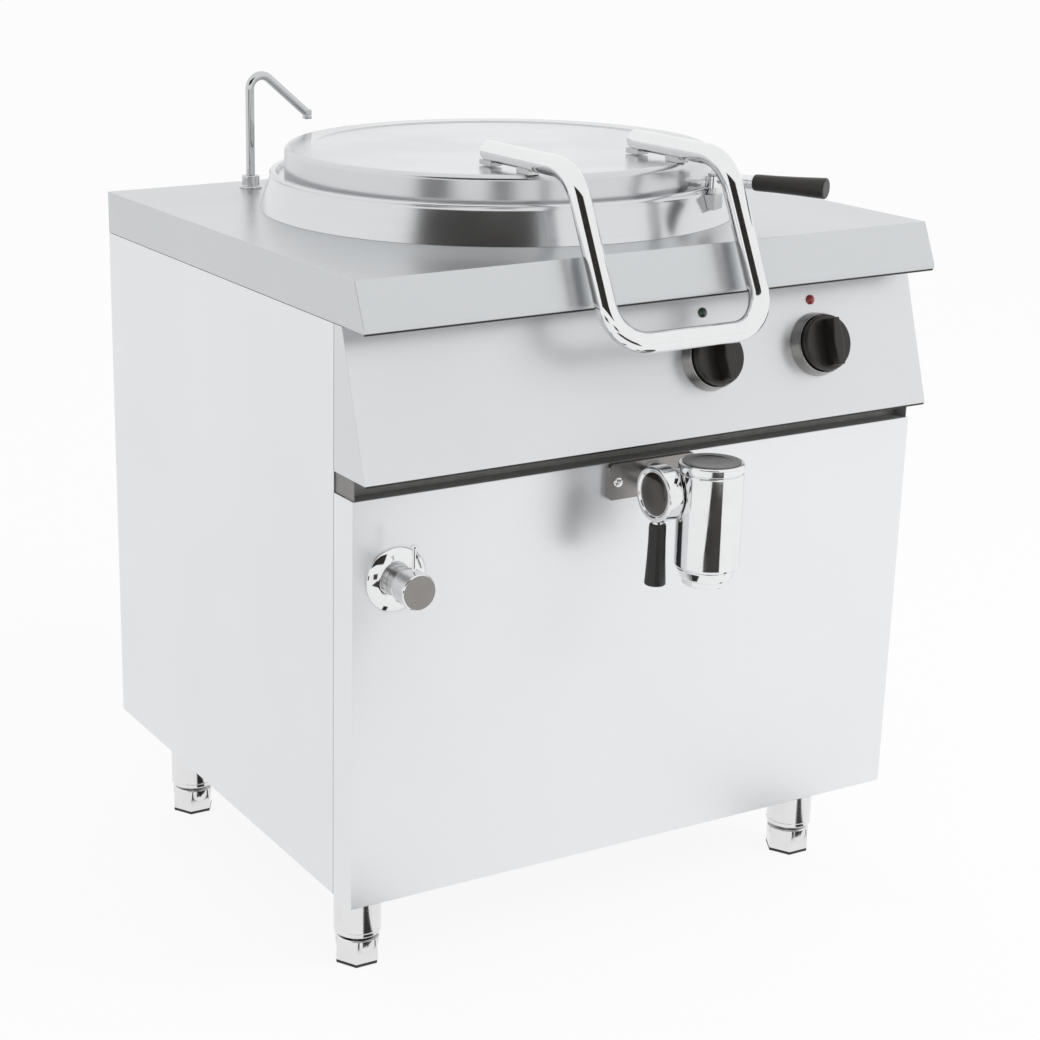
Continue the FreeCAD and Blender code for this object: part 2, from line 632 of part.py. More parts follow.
def hinge_bracket():
    """Folded foot on the worktop with two ears for the lid's pin."""
    wide = "hinge_width + 2 * hinge_gap + 2 * hinge_ear"
    front = "hinge_setback - hinge_foot_depth / 2"
    body = extruded("hinge_blank", "YZ_Plane", [
        (front, "0"), (f"{front} + hinge_foot_depth", "0"), (f"{front} + hinge_foot_depth", "hinge_foot"),
        ("hinge_setback + hinge_barrel", "hinge_height"),
        ("hinge_setback + hinge_barrel / 2", "hinge_height + hinge_barrel"),
        ("hinge_setback - hinge_barrel / 2", "hinge_height + hinge_barrel"),
        ("hinge_setback - hinge_barrel", "hinge_height"),
        (front, "hinge_foot")], wide)
    mouth = new_sketch(body, "YZ_Plane")
    outline(mouth, [
        (f"{front} - 5", "hinge_foot"), (f"{front} + hinge_foot_depth + 5", "hinge_foot"),
        (f"{front} + hinge_foot_depth + 5", "hinge_height + hinge_barrel + 5"),
        (f"{front} - 5", "hinge_height + hinge_barrel + 5")])
    pocket(body, mouth, "hinge_width + 2 * hinge_gap", symmetric=True)
    place(body, z="worktop_height")
    bore = cylinder("hinge_bracket_bore", "hinge_pin_radius", f"{wide} + 4", f"-({wide}) / 2 - 2",
                    "hinge_setback", "worktop_height + hinge_height", "X")
    keep(cut("hinge_bracket", body, bore), "hinge_bracket")


def hinge_pin():
    """Pin through both ears, with a low head at each end."""
    wide = "hinge_width + 2 * hinge_gap + 2 * hinge_ear"
    body = turned("hinge_pin", [
        ("0", f"-({wide}) / 2 - 3"), ("hinge_pin_radius + 2.5", f"-({wide}) / 2 - 3"),
        ("hinge_pin_radius + 2.5", f"-({wide}) / 2"), ("hinge_pin_radius", f"-({wide}) / 2"),
        ("hinge_pin_radius", f"({wide}) / 2"), ("hinge_pin_radius + 2.5", f"({wide}) / 2"),
        ("hinge_pin_radius + 2.5", f"({wide}) / 2 + 3"), ("0", f"({wide}) / 2 + 3")])
    place(keep(body, "hinge_pin"), y="hinge_setback", z="worktop_height + hinge_height",
          axis=Y_AXIS, angle="90")


def lid_hinge_arm():
    """Arm from the back of the lid's skirt, over the collar, to the barrel on the pin."""
    arm = extruded("hinge_plate", "YZ_Plane", [
        ("pan_setback + lid_radius - hinge_width / 2", "arm_floor"),
        ("hinge_setback - hinge_barrel / 2", "arm_floor"), ("hinge_setback", "arm_floor + 3"),
        ("hinge_setback", "arm_floor + arm_sheet - 3"),
        ("hinge_setback - hinge_barrel / 2", "arm_floor + arm_sheet"),
        ("pan_setback + lid_radius - hinge_width / 2", "arm_floor + arm_sheet")], "hinge_width")
    place(arm, z="worktop_height")
    skirt = cylinder("hinge_skirt_space", "lid_radius + 0.2", "arm_sheet + 4", "0", "pan_setback",
                     "worktop_height + arm_floor - 2")
    barrel = cylinder("hinge_barrel", "hinge_barrel", "hinge_width", "-hinge_width / 2",
                      "hinge_setback", "worktop_height + hinge_height", "X")
    bore = cylinder("hinge_arm_bore", "hinge_pin_radius + running_clearance", "hinge_width + 4",
                    "-hinge_width / 2 - 2", "hinge_setback", "worktop_height + hinge_height", "X")
    keep(cut("lid_hinge_arm", fused("hinge_arm_blank", arm, barrel), fused("hinge_arm_spaces", skirt, bore)),
         "lid_hinge_arm")


# Lid clamp, built along X from the pan's axis and then turned to its place

def at_clamp(item):
    return place(item, y="pan_setback", z="worktop_height", axis=Z_AXIS, angle="clamp_azimuth")


def local_cylinder(name, radius, length, x, z, along_x=False):
    item = doc.addObject("Part::Cylinder", name)
    bind(item, "Radius", radius)
    bind(item, "Height", length)
    if along_x:
        item.Placement.Rotation = FreeCAD.Rotation(Y_AXIS, 90)
    bind(item, "Placement.Base.x", x)
    bind(item, "Placement.Base.z", z)
    return item


def clamp_bracket():
    """Lug that follows the collar's cone, with the pivot stud for the clamp."""
    slope = "(collar_base_radius - collar_rim_radius - 4.5) / (collar_height - 6)"
    low, high = "collar_height - 25", "collar_height - 7"
    lug = turned("clamp_lug", [
        (f"collar_base_radius - {slope} * ({low}) + 0.2", low), ("clamp_radius + clamp_boss", low),
        ("clamp_radius + clamp_boss", high), (f"collar_base_radius - {slope} * ({high}) + 0.2", high)],
        "clamp_bracket_span * 1 deg")
    spacer = local_cylinder("clamp_spacer", "clamp_pin_radius + 1", f"clamp_floor - 0.3 - ({high})",
                            "clamp_radius", high)
    top = "clamp_arm_floor + clamp_arm_sheet"
    stud = local_cylinder("clamp_stud", "clamp_pin_radius", f"{top} + 0.3 - ({high})", "clamp_radius", high)
    head = local_cylinder("clamp_stud_head", "clamp_pin_radius + 2", "3", "clamp_radius", f"{top} + 0.3")
    at_clamp(keep(fused("clamp_bracket", lug, spacer, stud, head), "clamp_bracket"))


def clamp_arm():
    """Boss on the stud, a short nose for the keeper and a rod towards the grip."""
    boss = local_cylinder("clamp_boss_disc", "clamp_boss", "clamp_arm_floor + clamp_arm_sheet - clamp_floor",
                          "clamp_radius", "clamp_floor")
    root = "(clamp_radius + clamp_boss - 2)"
    rod = local_cylinder("clamp_rod_bar", "clamp_rod", f"clamp_ferrule_start - {root}", root,
                         "clamp_arm_floor + clamp_arm_sheet / 2", along_x=True)
    nose = doc.addObject("Part::Box", "clamp_nose_bar")
    bind(nose, "Length", "clamp_nose")
    bind(nose, "Width", "clamp_boss")
    bind(nose, "Height", "clamp_arm_sheet")
    nose.Placement.Rotation = FreeCAD.Rotation(Z_AXIS, 45)
    turn = "(clamp_nose_angle * 1 deg)"
    bind(nose, "Placement.Rotation.Angle", turn)
    bind(nose, "Placement.Base.x", f"clamp_radius + clamp_boss / 2 * sin{turn}")
    bind(nose, "Placement.Base.y", f"-clamp_boss / 2 * cos{turn}")
    bind(nose, "Placement.Base.z", "clamp_arm_floor")
    bore = local_cylinder("clamp_bore", "clamp_pin_radius + running_clearance", "40", "clamp_radius",
                          "clamp_floor - 10")
    at_clamp(keep(cut("clamp_arm", fused("clamp_arm_blank", boss, rod, nose), bore), "clamp_arm"))


def along_clamp(item, start):
    """Lay a turned piece on the clamp's axis with its foot at a radius from the pan's axis."""
    turn = "clamp_azimuth * 1 deg"
    item.Placement = FreeCAD.Placement(FreeCAD.Vector(), FreeCAD.Rotation(Z_AXIS, size("clamp_azimuth")) *
                                       FreeCAD.Rotation(Y_AXIS, 90))
    bind(item, "Placement.Base.x", f"({start}) * cos({turn})")
    bind(item, "Placement.Base.y", f"{FRONT} + pan_setback + ({start}) * sin({turn})")
    bind(item, "Placement.Base.z", "worktop_height + clamp_arm_floor + clamp_arm_sheet / 2")
    return item


def grip(label, length):
    """Black grip that widens towards its rounded end."""
    body = turned(label, [("0", "0"), ("grip_neck", "0"), ("grip_end", f"{length} - 8"),
                          ("grip_end", length), ("0", length)])
    round_circles(body, "grip_rounding", [("grip_end", length), ("grip_neck", "0")])
    return keep(body, label)


def clamp_ferrule():
    length = "clamp_grip_start - clamp_ferrule_start"
    body = turned("clamp_ferrule", [
        ("0", "0"), ("clamp_rod + 1", "0"), ("clamp_ferrule", "5"), ("clamp_ferrule", length), ("0", length)])
    along_clamp(keep(body, "clamp_ferrule"), "clamp_ferrule_start")


def lid_keeper():
    """Small lug on the lid's skirt that the clamp's nose swings over."""
    body = turned("lid_keeper", [
        ("lid_radius + 0.2", "keeper_floor"), ("keeper_radius", "keeper_floor"),
        ("keeper_radius", "keeper_top - 1.5"), ("keeper_radius - 1.5", "keeper_top"),
        ("lid_radius + 0.2", "keeper_top")], "keeper_span * 1 deg")
    at_clamp(keep(body, "lid_keeper"))


# Filling spout and mixer

def at_spout(item, z="worktop_height"):
    return place(item, "-spout_across", "spout_setback", z)


def spout_base():
    """Flange and round nut that carry the swan neck."""
    bore = "spout_tube + running_clearance"
    body = turned("spout_base", [
        (bore, "0"), ("spout_flange", "0"), ("spout_flange", "3"), ("spout_nut", "5"),
        ("spout_nut", "spout_base_height - 3"), ("spout_nut - 3", "spout_base_height"),
        (bore, "spout_base_height")])
    at_spout(keep(body, "spout_base"))


def spout_pipe():
    """Swan neck: up, round a tight bend and down to the nozzle."""
    item = tube("spout_pipe", [("0", "0", "0.3"), ("0", "0", "spout_top"), ("spout_reach", "0", "spout_tip")],
                [size("spout_bend")], size("spout_tube"))
    at_spout(keep(item, "spout_pipe"))


def spout_nozzle():
    """Upright outlet at the end of the swan neck."""
    low = "spout_tip - nozzle_length + 3"
    body = turned("nozzle_blank", [
        ("0", low), ("nozzle_radius - 1.5", low), ("nozzle_radius", f"{low} + 3"),
        ("nozzle_radius", "spout_tip + 3"), ("0", "spout_tip + 3")])
    place(body, "-spout_across + spout_reach + nozzle_radius / 2", "spout_setback", "worktop_height")
    keep(cut("spout_nozzle", body, doc.getObject("spout_pipe")), "spout_nozzle")


def filling_pipe():
    """Water pipe inside the cabinet, from the mixer to the spout."""
    left, back = MIXER_LEFT, "spout_setback"
    item = tube("filling_pipe", [
        (left, "mixer_back", MIXER), (left, back, MIXER),
        ("-spout_across", back, MIXER), ("-spout_across", back, "worktop_height")],
        [size("fill_bend")] * 2, size("fill_pipe"))
    place(keep(item, "filling_pipe"))


def facing_cook(item, x, z, y="0"):
    """Turn a piece made along Z to point at the cook."""
    return place(item, x, y, z, X_AXIS, "90")


def mixer_escutcheon():
    """Domed cover ring against the front panel."""
    bore = "mixer_stem + 0.1"
    body = turned("mixer_escutcheon", [
        (bore, "0"), ("mixer_cover", "0"), ("mixer_cover", "3"), ("mixer_cover - 5", "mixer_cover_depth - 3"),
        ("mixer_head + 6", "mixer_cover_depth"), (bore, "mixer_cover_depth")])
    facing_cook(keep(body, "mixer_escutcheon"), MIXER_LEFT, MIXER)


def mixer_cartridge():
    """Valve cartridge through the front panel."""
    body = turned("mixer_cartridge", [
        ("0", "-mixer_back"), ("mixer_stem", "-mixer_back"),
        ("mixer_stem", "mixer_reach - mixer_head_length - 0.3"),
        ("0", "mixer_reach - mixer_head_length - 0.3")])
    facing_cook(keep(body, "mixer_cartridge"), MIXER_LEFT, MIXER)


def mixer_head():
    """Turning head with a flat face."""
    low = "mixer_reach - mixer_head_length"
    body = turned("mixer_head", [
        ("0", low), ("mixer_head", low), ("mixer_head", "mixer_reach - 1"),
        ("mixer_head - 1", "mixer_reach"), ("0", "mixer_reach")])
    facing_cook(keep(body, "mixer_head"), MIXER_LEFT, MIXER)


def mixer_pin():
    """Thin pin lever that stands on the head, with a small button on top."""
    body = turned("pin_blank", [
        ("0", "mixer_head - 4"), ("mixer_pin", "mixer_head - 4"), ("mixer_pin", "mixer_pin_length - 4"),
        ("mixer_pin + 1.8", "mixer_pin_length - 4"), ("mixer_pin + 1.8", "mixer_pin_length"),
        ("0", "mixer_pin_length")])
    place(body, MIXER_LEFT, "-mixer_pin_place", MIXER)
    keep(cut("mixer_pin", body, doc.getObject("mixer_head")), "mixer_pin")


# Controls

def knob_bezel(label, x):
    """Bright conical ring on the control panel round the knob."""
    inner = "knob_radius + 0.6"
    body = turned(label, [
        (inner, "0"), ("bezel_radius", "0"), ("bezel_radius", "2"), ("bezel_top", "bezel_height"),
        (inner, "bezel_height")])
    return on_slope(body, x, KNOB_RISE)


def knob_bezels():
    """The two bezels, a solid for each knob."""
    rings = [knob_bezel(f"bezel_{name}", x) for name, x in KNOBS.items()]
    keep(grouped("knob_bezels", rings), "knob_bezels")


def knob(label, x):
    """Black knob: a round body, a grip bar across it and the shaft behind."""
    body = turned(label, [
        ("0", "-14"), ("shaft_radius", "-14"), ("shaft_radius", "knob_floor"), ("knob_radius", "knob_floor"),
        ("knob_radius", "knob_shoulder"), ("0", "knob_shoulder")])
    round_circles(body, "2", [("knob_radius", "knob_shoulder")])
    bar = new_sketch(body, "XY_Plane")
    half, tall = "knob_bar / 2", "(knob_radius - 4)"
    outline(bar, [(f"-{half}", f"-{tall} + 6"), ("-3", f"-{tall}"), ("3", f"-{tall}"), (half, f"-{tall} + 6"),
                  (half, f"{tall} - 6"), ("3", tall), ("-3", tall), (f"-{half}", f"{tall} - 6")])
    bind(bar, "AttachmentOffset.Base.z", "knob_shoulder - 1")
    feature = pad(body, bar, "knob_top - knob_shoulder + 1")
    feature.TaperAngle = -2
    doc.recompute()
    on_slope(keep(body, label), x, KNOB_RISE)


def switch_unit(label, x):
    """Rotary switch or thermostat behind the panel, with its threaded bush."""
    back = "-switch_depth - panel_sheet"
    half = "switch_size / 2"
    body = new_body(f"{label}_case")
    sketch = new_sketch(body, "XY_Plane")
    outline(sketch, [(f"-{half}", f"-{half}"), (half, f"-{half}"), (half, half), (f"-{half}", half)])
    bind(sketch, "AttachmentOffset.Base.z", back)
    pad(body, sketch, "switch_depth")
    bush = new_sketch(body, "XY_Plane")
    ring(bush, "0", "0", "bush_radius")
    bind(bush, "AttachmentOffset.Base.z", "-panel_sheet - 1")
    pad(body, bush, "panel_sheet + 1 + knob_floor - 0.4")
    doc.recompute()
    bore = new_sketch(body, "XY_Plane")
    ring(bore, "0", "0", "shaft_radius + running_clearance")
    bind(bore, "AttachmentOffset.Base.z", "knob_floor")
    pocket(body, bore, "knob_floor + 14.5")
    on_slope(keep(body, label), x, KNOB_RISE)


def lamp(label, x):
    """Indicator lamp with a domed lens, through the panel."""
    lens = "lamp_radius - 0.4"
    body = turned(label, [
        ("0", "-lamp_back"), (lens, "-lamp_back"), (lens, "0"), ("lamp_radius + 1", "0"),
        ("lamp_radius + 1", "1.5"), (lens, "2.5"), ("lamp_radius / 2", "4.5"), ("0", "5")])
    on_slope(keep(body, label), x, LAMP_RISE)


# Drain tap

def drain_flange():
    """Two-bolt flange on the front panel round the tap's neck."""
    half, tall = "flange_width / 2", "flange_height / 2"
    body = extruded("drain_flange", "XZ_Plane", [
        (f"-{half}", f"-{tall} + 4"), (f"-{half} + 4", f"-{tall}"), (f"{half} - 4", f"-{tall}"),
        (half, f"-{tall} + 4"), (half, f"{tall} - 4"), (f"{half} - 4", tall),
        (f"-{half} + 4", tall), (f"-{half}", f"{tall} - 4")], "flange_depth", symmetric=False)
    holes = new_sketch(body, "XZ_Plane")
    ring(holes, "0", "0", "tap_neck + 0.1")
    for side in (-1, 1):
        ring(holes, f"{side} * flange_bolts", "0", "flange_hole")
    pocket(body, holes, "3 * flange_depth", symmetric=True)
    place(keep(body, "drain_flange"), z=TAP)


def flange_bolts():
    """Two dome-headed bolts in the flange."""
    bolts = []
    for side in (-1, 1):
        bolt = turned(f"flange_bolt_{side + 2}", [
            ("0", "0"), ("flange_hole - 0.1", "0"), ("flange_hole - 0.1", "flange_depth"),
            ("flange_hole + 3", "flange_depth"), ("flange_hole + 2", "flange_depth + 3"),
            ("0", "flange_depth + 4")])
        facing_cook(bolt, f"{side} * flange_bolts", TAP)
        bolts.append(bolt)
    keep(grouped("flange_bolts", bolts), "flange_bolts")


def drain_tap_body():
    """Cast body: neck, cross housing for the plug, web and upright outlet chamber."""
    neck = cylinder("tap_neck", "tap_neck", "tap_inside + plug_reach", "0", "tap_inside", TAP, "-Y")
    housing = cylinder("plug_housing", "housing_radius", "housing_left + housing_right",
                       "-housing_left", "-plug_reach", PLUG, "X")
    web = cylinder("tap_web", "housing_radius - 1.5", "plug_reach / 2", "0", "-plug_reach / 2", PLUG, "-Y")
    chamber = cylinder("tap_chamber", "tap_radius", "tap_above + tap_below", "0", "-tap_reach", TAP_BOTTOM)
    blank = fused("tap_blank", neck, housing, web, chamber)
    waterway = cylinder("tap_waterway", "tap_bore", "tap_inside + tap_reach + 2", "0", "tap_inside + 1",
                        TAP, "-Y")
    seat = cylinder("plug_seat", "plug_radius + running_clearance", "housing_left + housing_right + 2",
                    "-housing_left - 1", "-plug_reach", PLUG, "X")
    hollow = cylinder("chamber_bore", "chamber_radius", "tap_above + tap_below + 2", "0", "-tap_reach",
                      f"{TAP_BOTTOM} - 1")
    keep(cut("drain_tap_body", blank, fused("tap_bores", waterway, seat, hollow)), "drain_tap_body")


def drain_tap_cap():
    """Screwed cap on the outlet chamber, with a low crown and a grip groove."""
    body = turned("drain_tap_cap", [
        ("0", "0"), ("tap_radius - 1.5", "0"), ("tap_radius - 1.5", "1.5"), ("tap_radius", "2.5"),
        ("tap_radius", "cap_height - 2"), ("tap_radius - 2", "cap_height"), ("tap_radius - 14", "cap_height"),
        ("tap_radius - 16", "cap_height - 1.5"), ("0", "cap_height - 1.5")])
    place(keep(body, "drain_tap_cap"), y="-tap_reach", z=TAP_TOP)


def drain_tap_nozzle():
    """Conical outlet under the chamber."""
    tall = "(nozzle_below - tap_below)"
    body = turned("drain_tap_nozzle", [
        ("outlet_bore", f"-{tall}"), ("outlet_radius", f"-{tall}"), ("tap_radius - 3", "-2"),
        ("tap_radius - 2", "0"), ("outlet_bore", "0")])
    place(keep(body, "drain_tap_nozzle"), y="-tap_reach", z=TAP_BOTTOM)


def drain_plug():
    """Round plug with a cross bore beside its axis; shut while the bore stands upright."""
    length = "housing_left + hub_gap + housing_right - 0.3"
    plug = cylinder("plug_bar", "plug_radius", length, "-housing_left - hub_gap", "-plug_reach", PLUG, "X")
    bore = cylinder("plug_bore", "tap_bore", "2 * plug_radius + 4", "0", "plug_rise - plug_reach",
                    f"{PLUG} - plug_radius - 2")
    keep(cut("drain_plug", plug, bore), "drain_plug")


def plug_retainer():
    """Cover nut that keeps the plug in its seat."""
    body = turned("plug_retainer", [
        ("0", "0"), ("housing_radius - 1", "0"), ("housing_radius - 1", "retainer_depth - 1.5"),
        ("housing_radius - 3", "retainer_depth"), ("0", "retainer_depth")])
    place(keep(body, "plug_retainer"), "housing_right", "-plug_reach", PLUG, Y_AXIS, "90")


def drain_lever_hub():
    """Round lever hub on the plug's end, with the stub that holds the grip."""
    left = "-housing_left - hub_gap - hub_thickness"
    disc = turned("hub_disc", [
        ("0", "1.5"), ("hub_radius - 9", "1.5"), ("hub_radius - 7", "0"), ("hub_radius - 2", "0"),
        ("hub_radius", "2"), ("hub_radius", "hub_thickness - 2"), ("hub_radius - 2", "hub_thickness"),
        ("0", "hub_thickness")])
    place(disc, left, "-plug_reach", PLUG, Y_AXIS, "90")
    stub = cylinder("hub_stub", "hub_stub", "drain_grip_start - 10", f"{left} + hub_thickness / 2",
                    "-plug_reach", f"{PLUG} - drain_grip_start")
    keep(fused("drain_lever_hub", disc, stub), "drain_lever_hub")


def drain_grip():
    """Black grip that hangs from the hub while the tap is shut."""
    body = grip("drain_grip", "drain_grip_length")
    place(body, "-housing_left - hub_gap - hub_thickness / 2", "-plug_reach",
          f"{PLUG} - drain_grip_start", X_AXIS, "180")


# Rear connections

def facing_wall(item, x, z, y="cabinet_depth"):
    """Turn a piece made along Z to point backwards."""
    return place(item, x, y, z, X_AXIS, "-90")


def water_inlets():
    """Hot and cold water connections through the rear panel, each with a nut inside."""
    inlets = []
    inside, outside, neck = "-2 * panel_sheet", "-panel_sheet", "inlet_radius - 1"
    for index, x in enumerate(INLETS):
        inlet = turned(f"inlet_{index + 1}", [
            ("inlet_bore", f"{inside} - inlet_back"), (neck, f"{inside} - inlet_back"),
            (neck, f"{inside} - 6"), ("inlet_nut", f"{inside} - 6"), ("inlet_nut", inside),
            (neck, inside), (neck, outside), ("inlet_radius", outside),
            ("inlet_radius", "inlet_reach"), ("inlet_bore", "inlet_reach")])
        facing_wall(inlet, x, INLET_HEIGHT)
        inlets.append(inlet)
    keep(grouped("water_inlets", inlets), "water_inlets")


def cable_gland():
    """Gland for the supply cable in the rear panel."""
    back = "-2 * panel_sheet"
    body = turned("cable_gland", [
        ("gland_bore", f"{back} - 8"), ("gland_radius - 3.1", f"{back} - 8"),
        ("gland_radius - 3.1", "-panel_sheet"),
        ("gland_radius", "-panel_sheet"), ("gland_radius", "4"), ("gland_radius - 3", "inlet_reach - 3"),
        ("gland_bore", "inlet_reach - 3")])
    facing_wall(keep(body, "cable_gland"), GLAND, INLET_HEIGHT)


# Legs

LEG_PLACES = {
    "front_left": ("-(cabinet_width / 2 - leg_inset)", "leg_front"),
    "front_right": ("cabinet_width / 2 - leg_inset", "leg_front"),
    "rear_left": ("-(cabinet_width / 2 - leg_inset)", "cabinet_depth - leg_front"),
    "rear_right": ("cabinet_width / 2 - leg_inset", "cabinet_depth - leg_front"),
}


def leg(name, x, y):
    """Bright tube leg with a threaded bottom cap."""
    bore, inner = "stem_radius + running_clearance", "leg_radius - leg_wall"
    body = turned(name, [
        (bore, "leg_bottom"), ("leg_radius - 2", "leg_bottom"), ("leg_radius", "leg_bottom + 2"),
        ("leg_radius", "leg_height"), (inner, "leg_height"), (inner, "leg_bottom + leg_cap"),
        (bore, "leg_bottom + leg_cap")])
    return place(body, x, y)


def legs():
    """The four legs, a solid for each corner."""
    keep(grouped("legs", [leg(f"leg_{corner}", x, y) for corner, (x, y) in LEG_PLACES.items()]), "legs")


def foot(label, x, y):
    """Screw foot: a hexagon with a turned shoulder and its stem inside the leg."""
    hexagon = doc.addObject("Part::Prism", f"{label}_hexagon")
    hexagon.Polygon = 6
    bind(hexagon, "Circumradius", "foot_corner")
    bind(hexagon, "Height", "foot_height")
    form = turned(f"{label}_form", [
        ("0", "0"), ("foot_corner - 2", "0"), ("foot_corner", "4"), ("foot_corner", "foot_height / 2"),
        ("foot_corner - 1.5", "foot_height - 1.5"), ("foot_corner - 3", "foot_height"), ("0", "foot_height")])
    crown = turned(f"{label}_crown", [
        ("0", "foot_height / 2"), ("foot_corner * cos(30 deg)", "foot_height / 2"),
        ("foot_corner - 1.5", "foot_height / 2 + 8"), ("foot_corner - 1.5", "foot_height - 1.5"),
        ("foot_corner - 3", "foot_height"), ("stem_radius", "foot_height"), ("stem_radius", "stem_top"),
        ("0", "stem_top")])
    common = doc.addObject("Part::MultiCommon", f"{label}_base")
    common.Shapes = [hexagon, form]
    place(keep(fused(label, common, crown), label), x, y)


def check_and_export():
    """Stop on any failed object, then write one STEP file for each sub-part."""
    doc.recompute()
    for item in doc.Objects:
        if "Invalid" in item.State or "Error" in item.State:
            raise RuntimeError(f"{item.Name} failed: {item.State}")
    for item in parts:
        if item.Shape.isNull() or not item.Shape.isValid() or item.Shape.Volume <= 0:
            raise RuntimeError(f"{item.Label} has no valid solid")
    os.makedirs("parts", exist_ok=True)
    for item in parts:
        item.Shape.exportStep(f"parts/{item.Label}.step")
    print(len(parts), "sub-parts written")


def build():
    fill_sheet()
    base_tray()
    side_panel("left_side_panel", -1)
    side_panel("right_side_panel", 1)
    rear_panel()
    front_panel()
    gap_channel()
    control_panel()
    worktop()
    pan_collar()
    pan_vessel()
    insulation_jacket()
    heating_elements()
    element_plate()
    support_rails()
    drain_pipe()
    lid_shell()
    lid_liner()
    lid_handle()
    handle_saddles()
    hinge_bracket()
    hinge_pin()
    lid_hinge_arm()
    clamp_bracket()
    clamp_arm()
    clamp_ferrule()
    along_clamp(grip("clamp_grip", "(clamp_grip_end - clamp_grip_start)"), "clamp_grip_start")
    lid_keeper()
    spout_base()
    spout_pipe()
    spout_nozzle()
    filling_pipe()
    mixer_escutcheon()
    mixer_cartridge()
    mixer_head()
    mixer_pin()
    knob_bezels()
    for name, x in KNOBS.items():
        knob(name, x)
    switch_unit("power_switch", KNOBS["knob_left"])
    switch_unit("thermostat", KNOBS["knob_right"])
    lamp("lamp_green", KNOBS["knob_left"])
    lamp("lamp_red", KNOBS["knob_right"])
    drain_flange()
    flange_bolts()
    drain_tap_body()
    drain_tap_cap()
    drain_tap_nozzle()
    drain_plug()
    plug_retainer()
    drain_lever_hub()
    drain_grip()
    water_inlets()
    cable_gland()
    legs()
    for corner, (x, y) in LEG_PLACES.items():
        foot(f"foot_{corner}", x, y)
    check_and_export()


build()
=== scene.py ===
# %% [markdown]
# # Dressing a boiling pan
# The CAD model of a free-standing boiling pan is loaded as a fixed frame. It already has every piece in
# its true place. In this lesson each piece that shows gets softer edges, rounder curves and a finish, and
# the scene gets a camera, a floor and lamps. Work goes from the big sheets to the small fittings.

# %% load the frame
import math

import bpy
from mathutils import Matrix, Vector


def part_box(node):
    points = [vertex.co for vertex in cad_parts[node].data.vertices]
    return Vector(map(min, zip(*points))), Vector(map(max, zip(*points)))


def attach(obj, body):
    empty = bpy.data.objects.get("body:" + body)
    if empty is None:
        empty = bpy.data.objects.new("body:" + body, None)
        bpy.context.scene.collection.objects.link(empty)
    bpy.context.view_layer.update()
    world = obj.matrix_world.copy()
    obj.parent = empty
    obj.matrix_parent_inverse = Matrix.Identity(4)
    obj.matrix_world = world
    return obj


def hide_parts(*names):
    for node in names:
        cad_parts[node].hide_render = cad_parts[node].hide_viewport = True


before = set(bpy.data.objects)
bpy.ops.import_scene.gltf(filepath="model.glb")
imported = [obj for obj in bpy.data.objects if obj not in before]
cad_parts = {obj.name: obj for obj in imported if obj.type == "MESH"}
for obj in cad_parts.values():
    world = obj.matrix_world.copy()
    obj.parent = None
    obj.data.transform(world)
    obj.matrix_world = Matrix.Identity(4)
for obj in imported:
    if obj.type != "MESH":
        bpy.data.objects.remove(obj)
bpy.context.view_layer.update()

# %% [markdown]
# ## Places in millimetres
# Sheet-metal drawings are read in millimetres from the front panel, so places are written that way here
# too. Blender wants metres in the frame of the CAD model. One helper turns the first into the second, which
# keeps every number in this file as short as on a drawing.

# %% places
METRE = 1000
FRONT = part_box("front_panel")[0][1] * METRE
TOP = 877


def spot(x, y, z):
    """A place in millimetres, with y counted back from the front panel, as metres in the frame."""
    return Vector((x, y + FRONT, z)) / METRE


print("front panel plane at", round(FRONT, 2), "mm, worktop at", TOP, "mm")

# %% [markdown]
# ## Camera
# The straight edges of the cabinet in the photograph give the camera: it stands to the left of the front,
# a little above the worktop, and looks down by 17.5 degrees. The picture was cut off-centre afterwards, so
# the frame is shifted sideways and the lens is not turned, which keeps the upright edges as they are.

# %% camera
camera_data = bpy.data.cameras.new("camera")
camera = bpy.data.objects.new("camera", camera_data)
bpy.context.scene.collection.objects.link(camera)
camera.location = (-1.484, -2.001 + FRONT / METRE, 1.327)
camera.rotation_euler = (math.radians(90 - 17.53), math.radians(0.16), math.radians(-27.13))
camera_data.sensor_width = 36
camera_data.lens = 74.5
camera_data.shift_x = 0.208
camera_data.clip_end = 60
bpy.context.scene.camera = camera
bpy.context.scene.view_settings.view_transform = "Standard"
print("camera at", [round(value, 3) for value in camera.location])

# %% [markdown]
# ## Soft edges
# No real edge is a knife edge: cutting, folding and polishing leave a small radius, and that radius
# catches a thin line of light. A Bevel modifier could stay live, but applied it gives a mesh that exports
# as it looks. A Weighted Normal modifier follows it, so that a large flat face keeps its own direction when
# it is shaded smooth, and mirrors the room without bending it.


# %% choosing one piece
def only(piece):
    """Make one object the active and only selected one."""
    bpy.ops.object.select_all(action="DESELECT")
    piece.select_set(True)
    bpy.context.view_layer.objects.active = piece


# %% softening the edges
def soften(piece, width, segments=3, angle=28):
    """Round the sharp edges by width millimetres; large faces keep their own direction when shaded."""
    only(piece)
    if width:
        bevel = piece.modifiers.new("edges", "BEVEL")
        bevel.width = width / METRE
        bevel.segments = segments
        bevel.limit_method = "ANGLE"
        bevel.angle_limit = math.radians(angle)
        bevel.harden_normals = False
        bpy.ops.object.modifier_apply(modifier=bevel.name)
    bpy.ops.object.shade_smooth_by_angle(angle=math.radians(angle + 6))
    flatten = piece.modifiers.new("flatten", "WEIGHTED_NORMAL")
    flatten.weight = 100
    flatten.keep_sharp = True
    bpy.ops.object.modifier_apply(modifier=flatten.name)
    return piece


print("edges are rounded where two faces meet at more than 28 degrees")

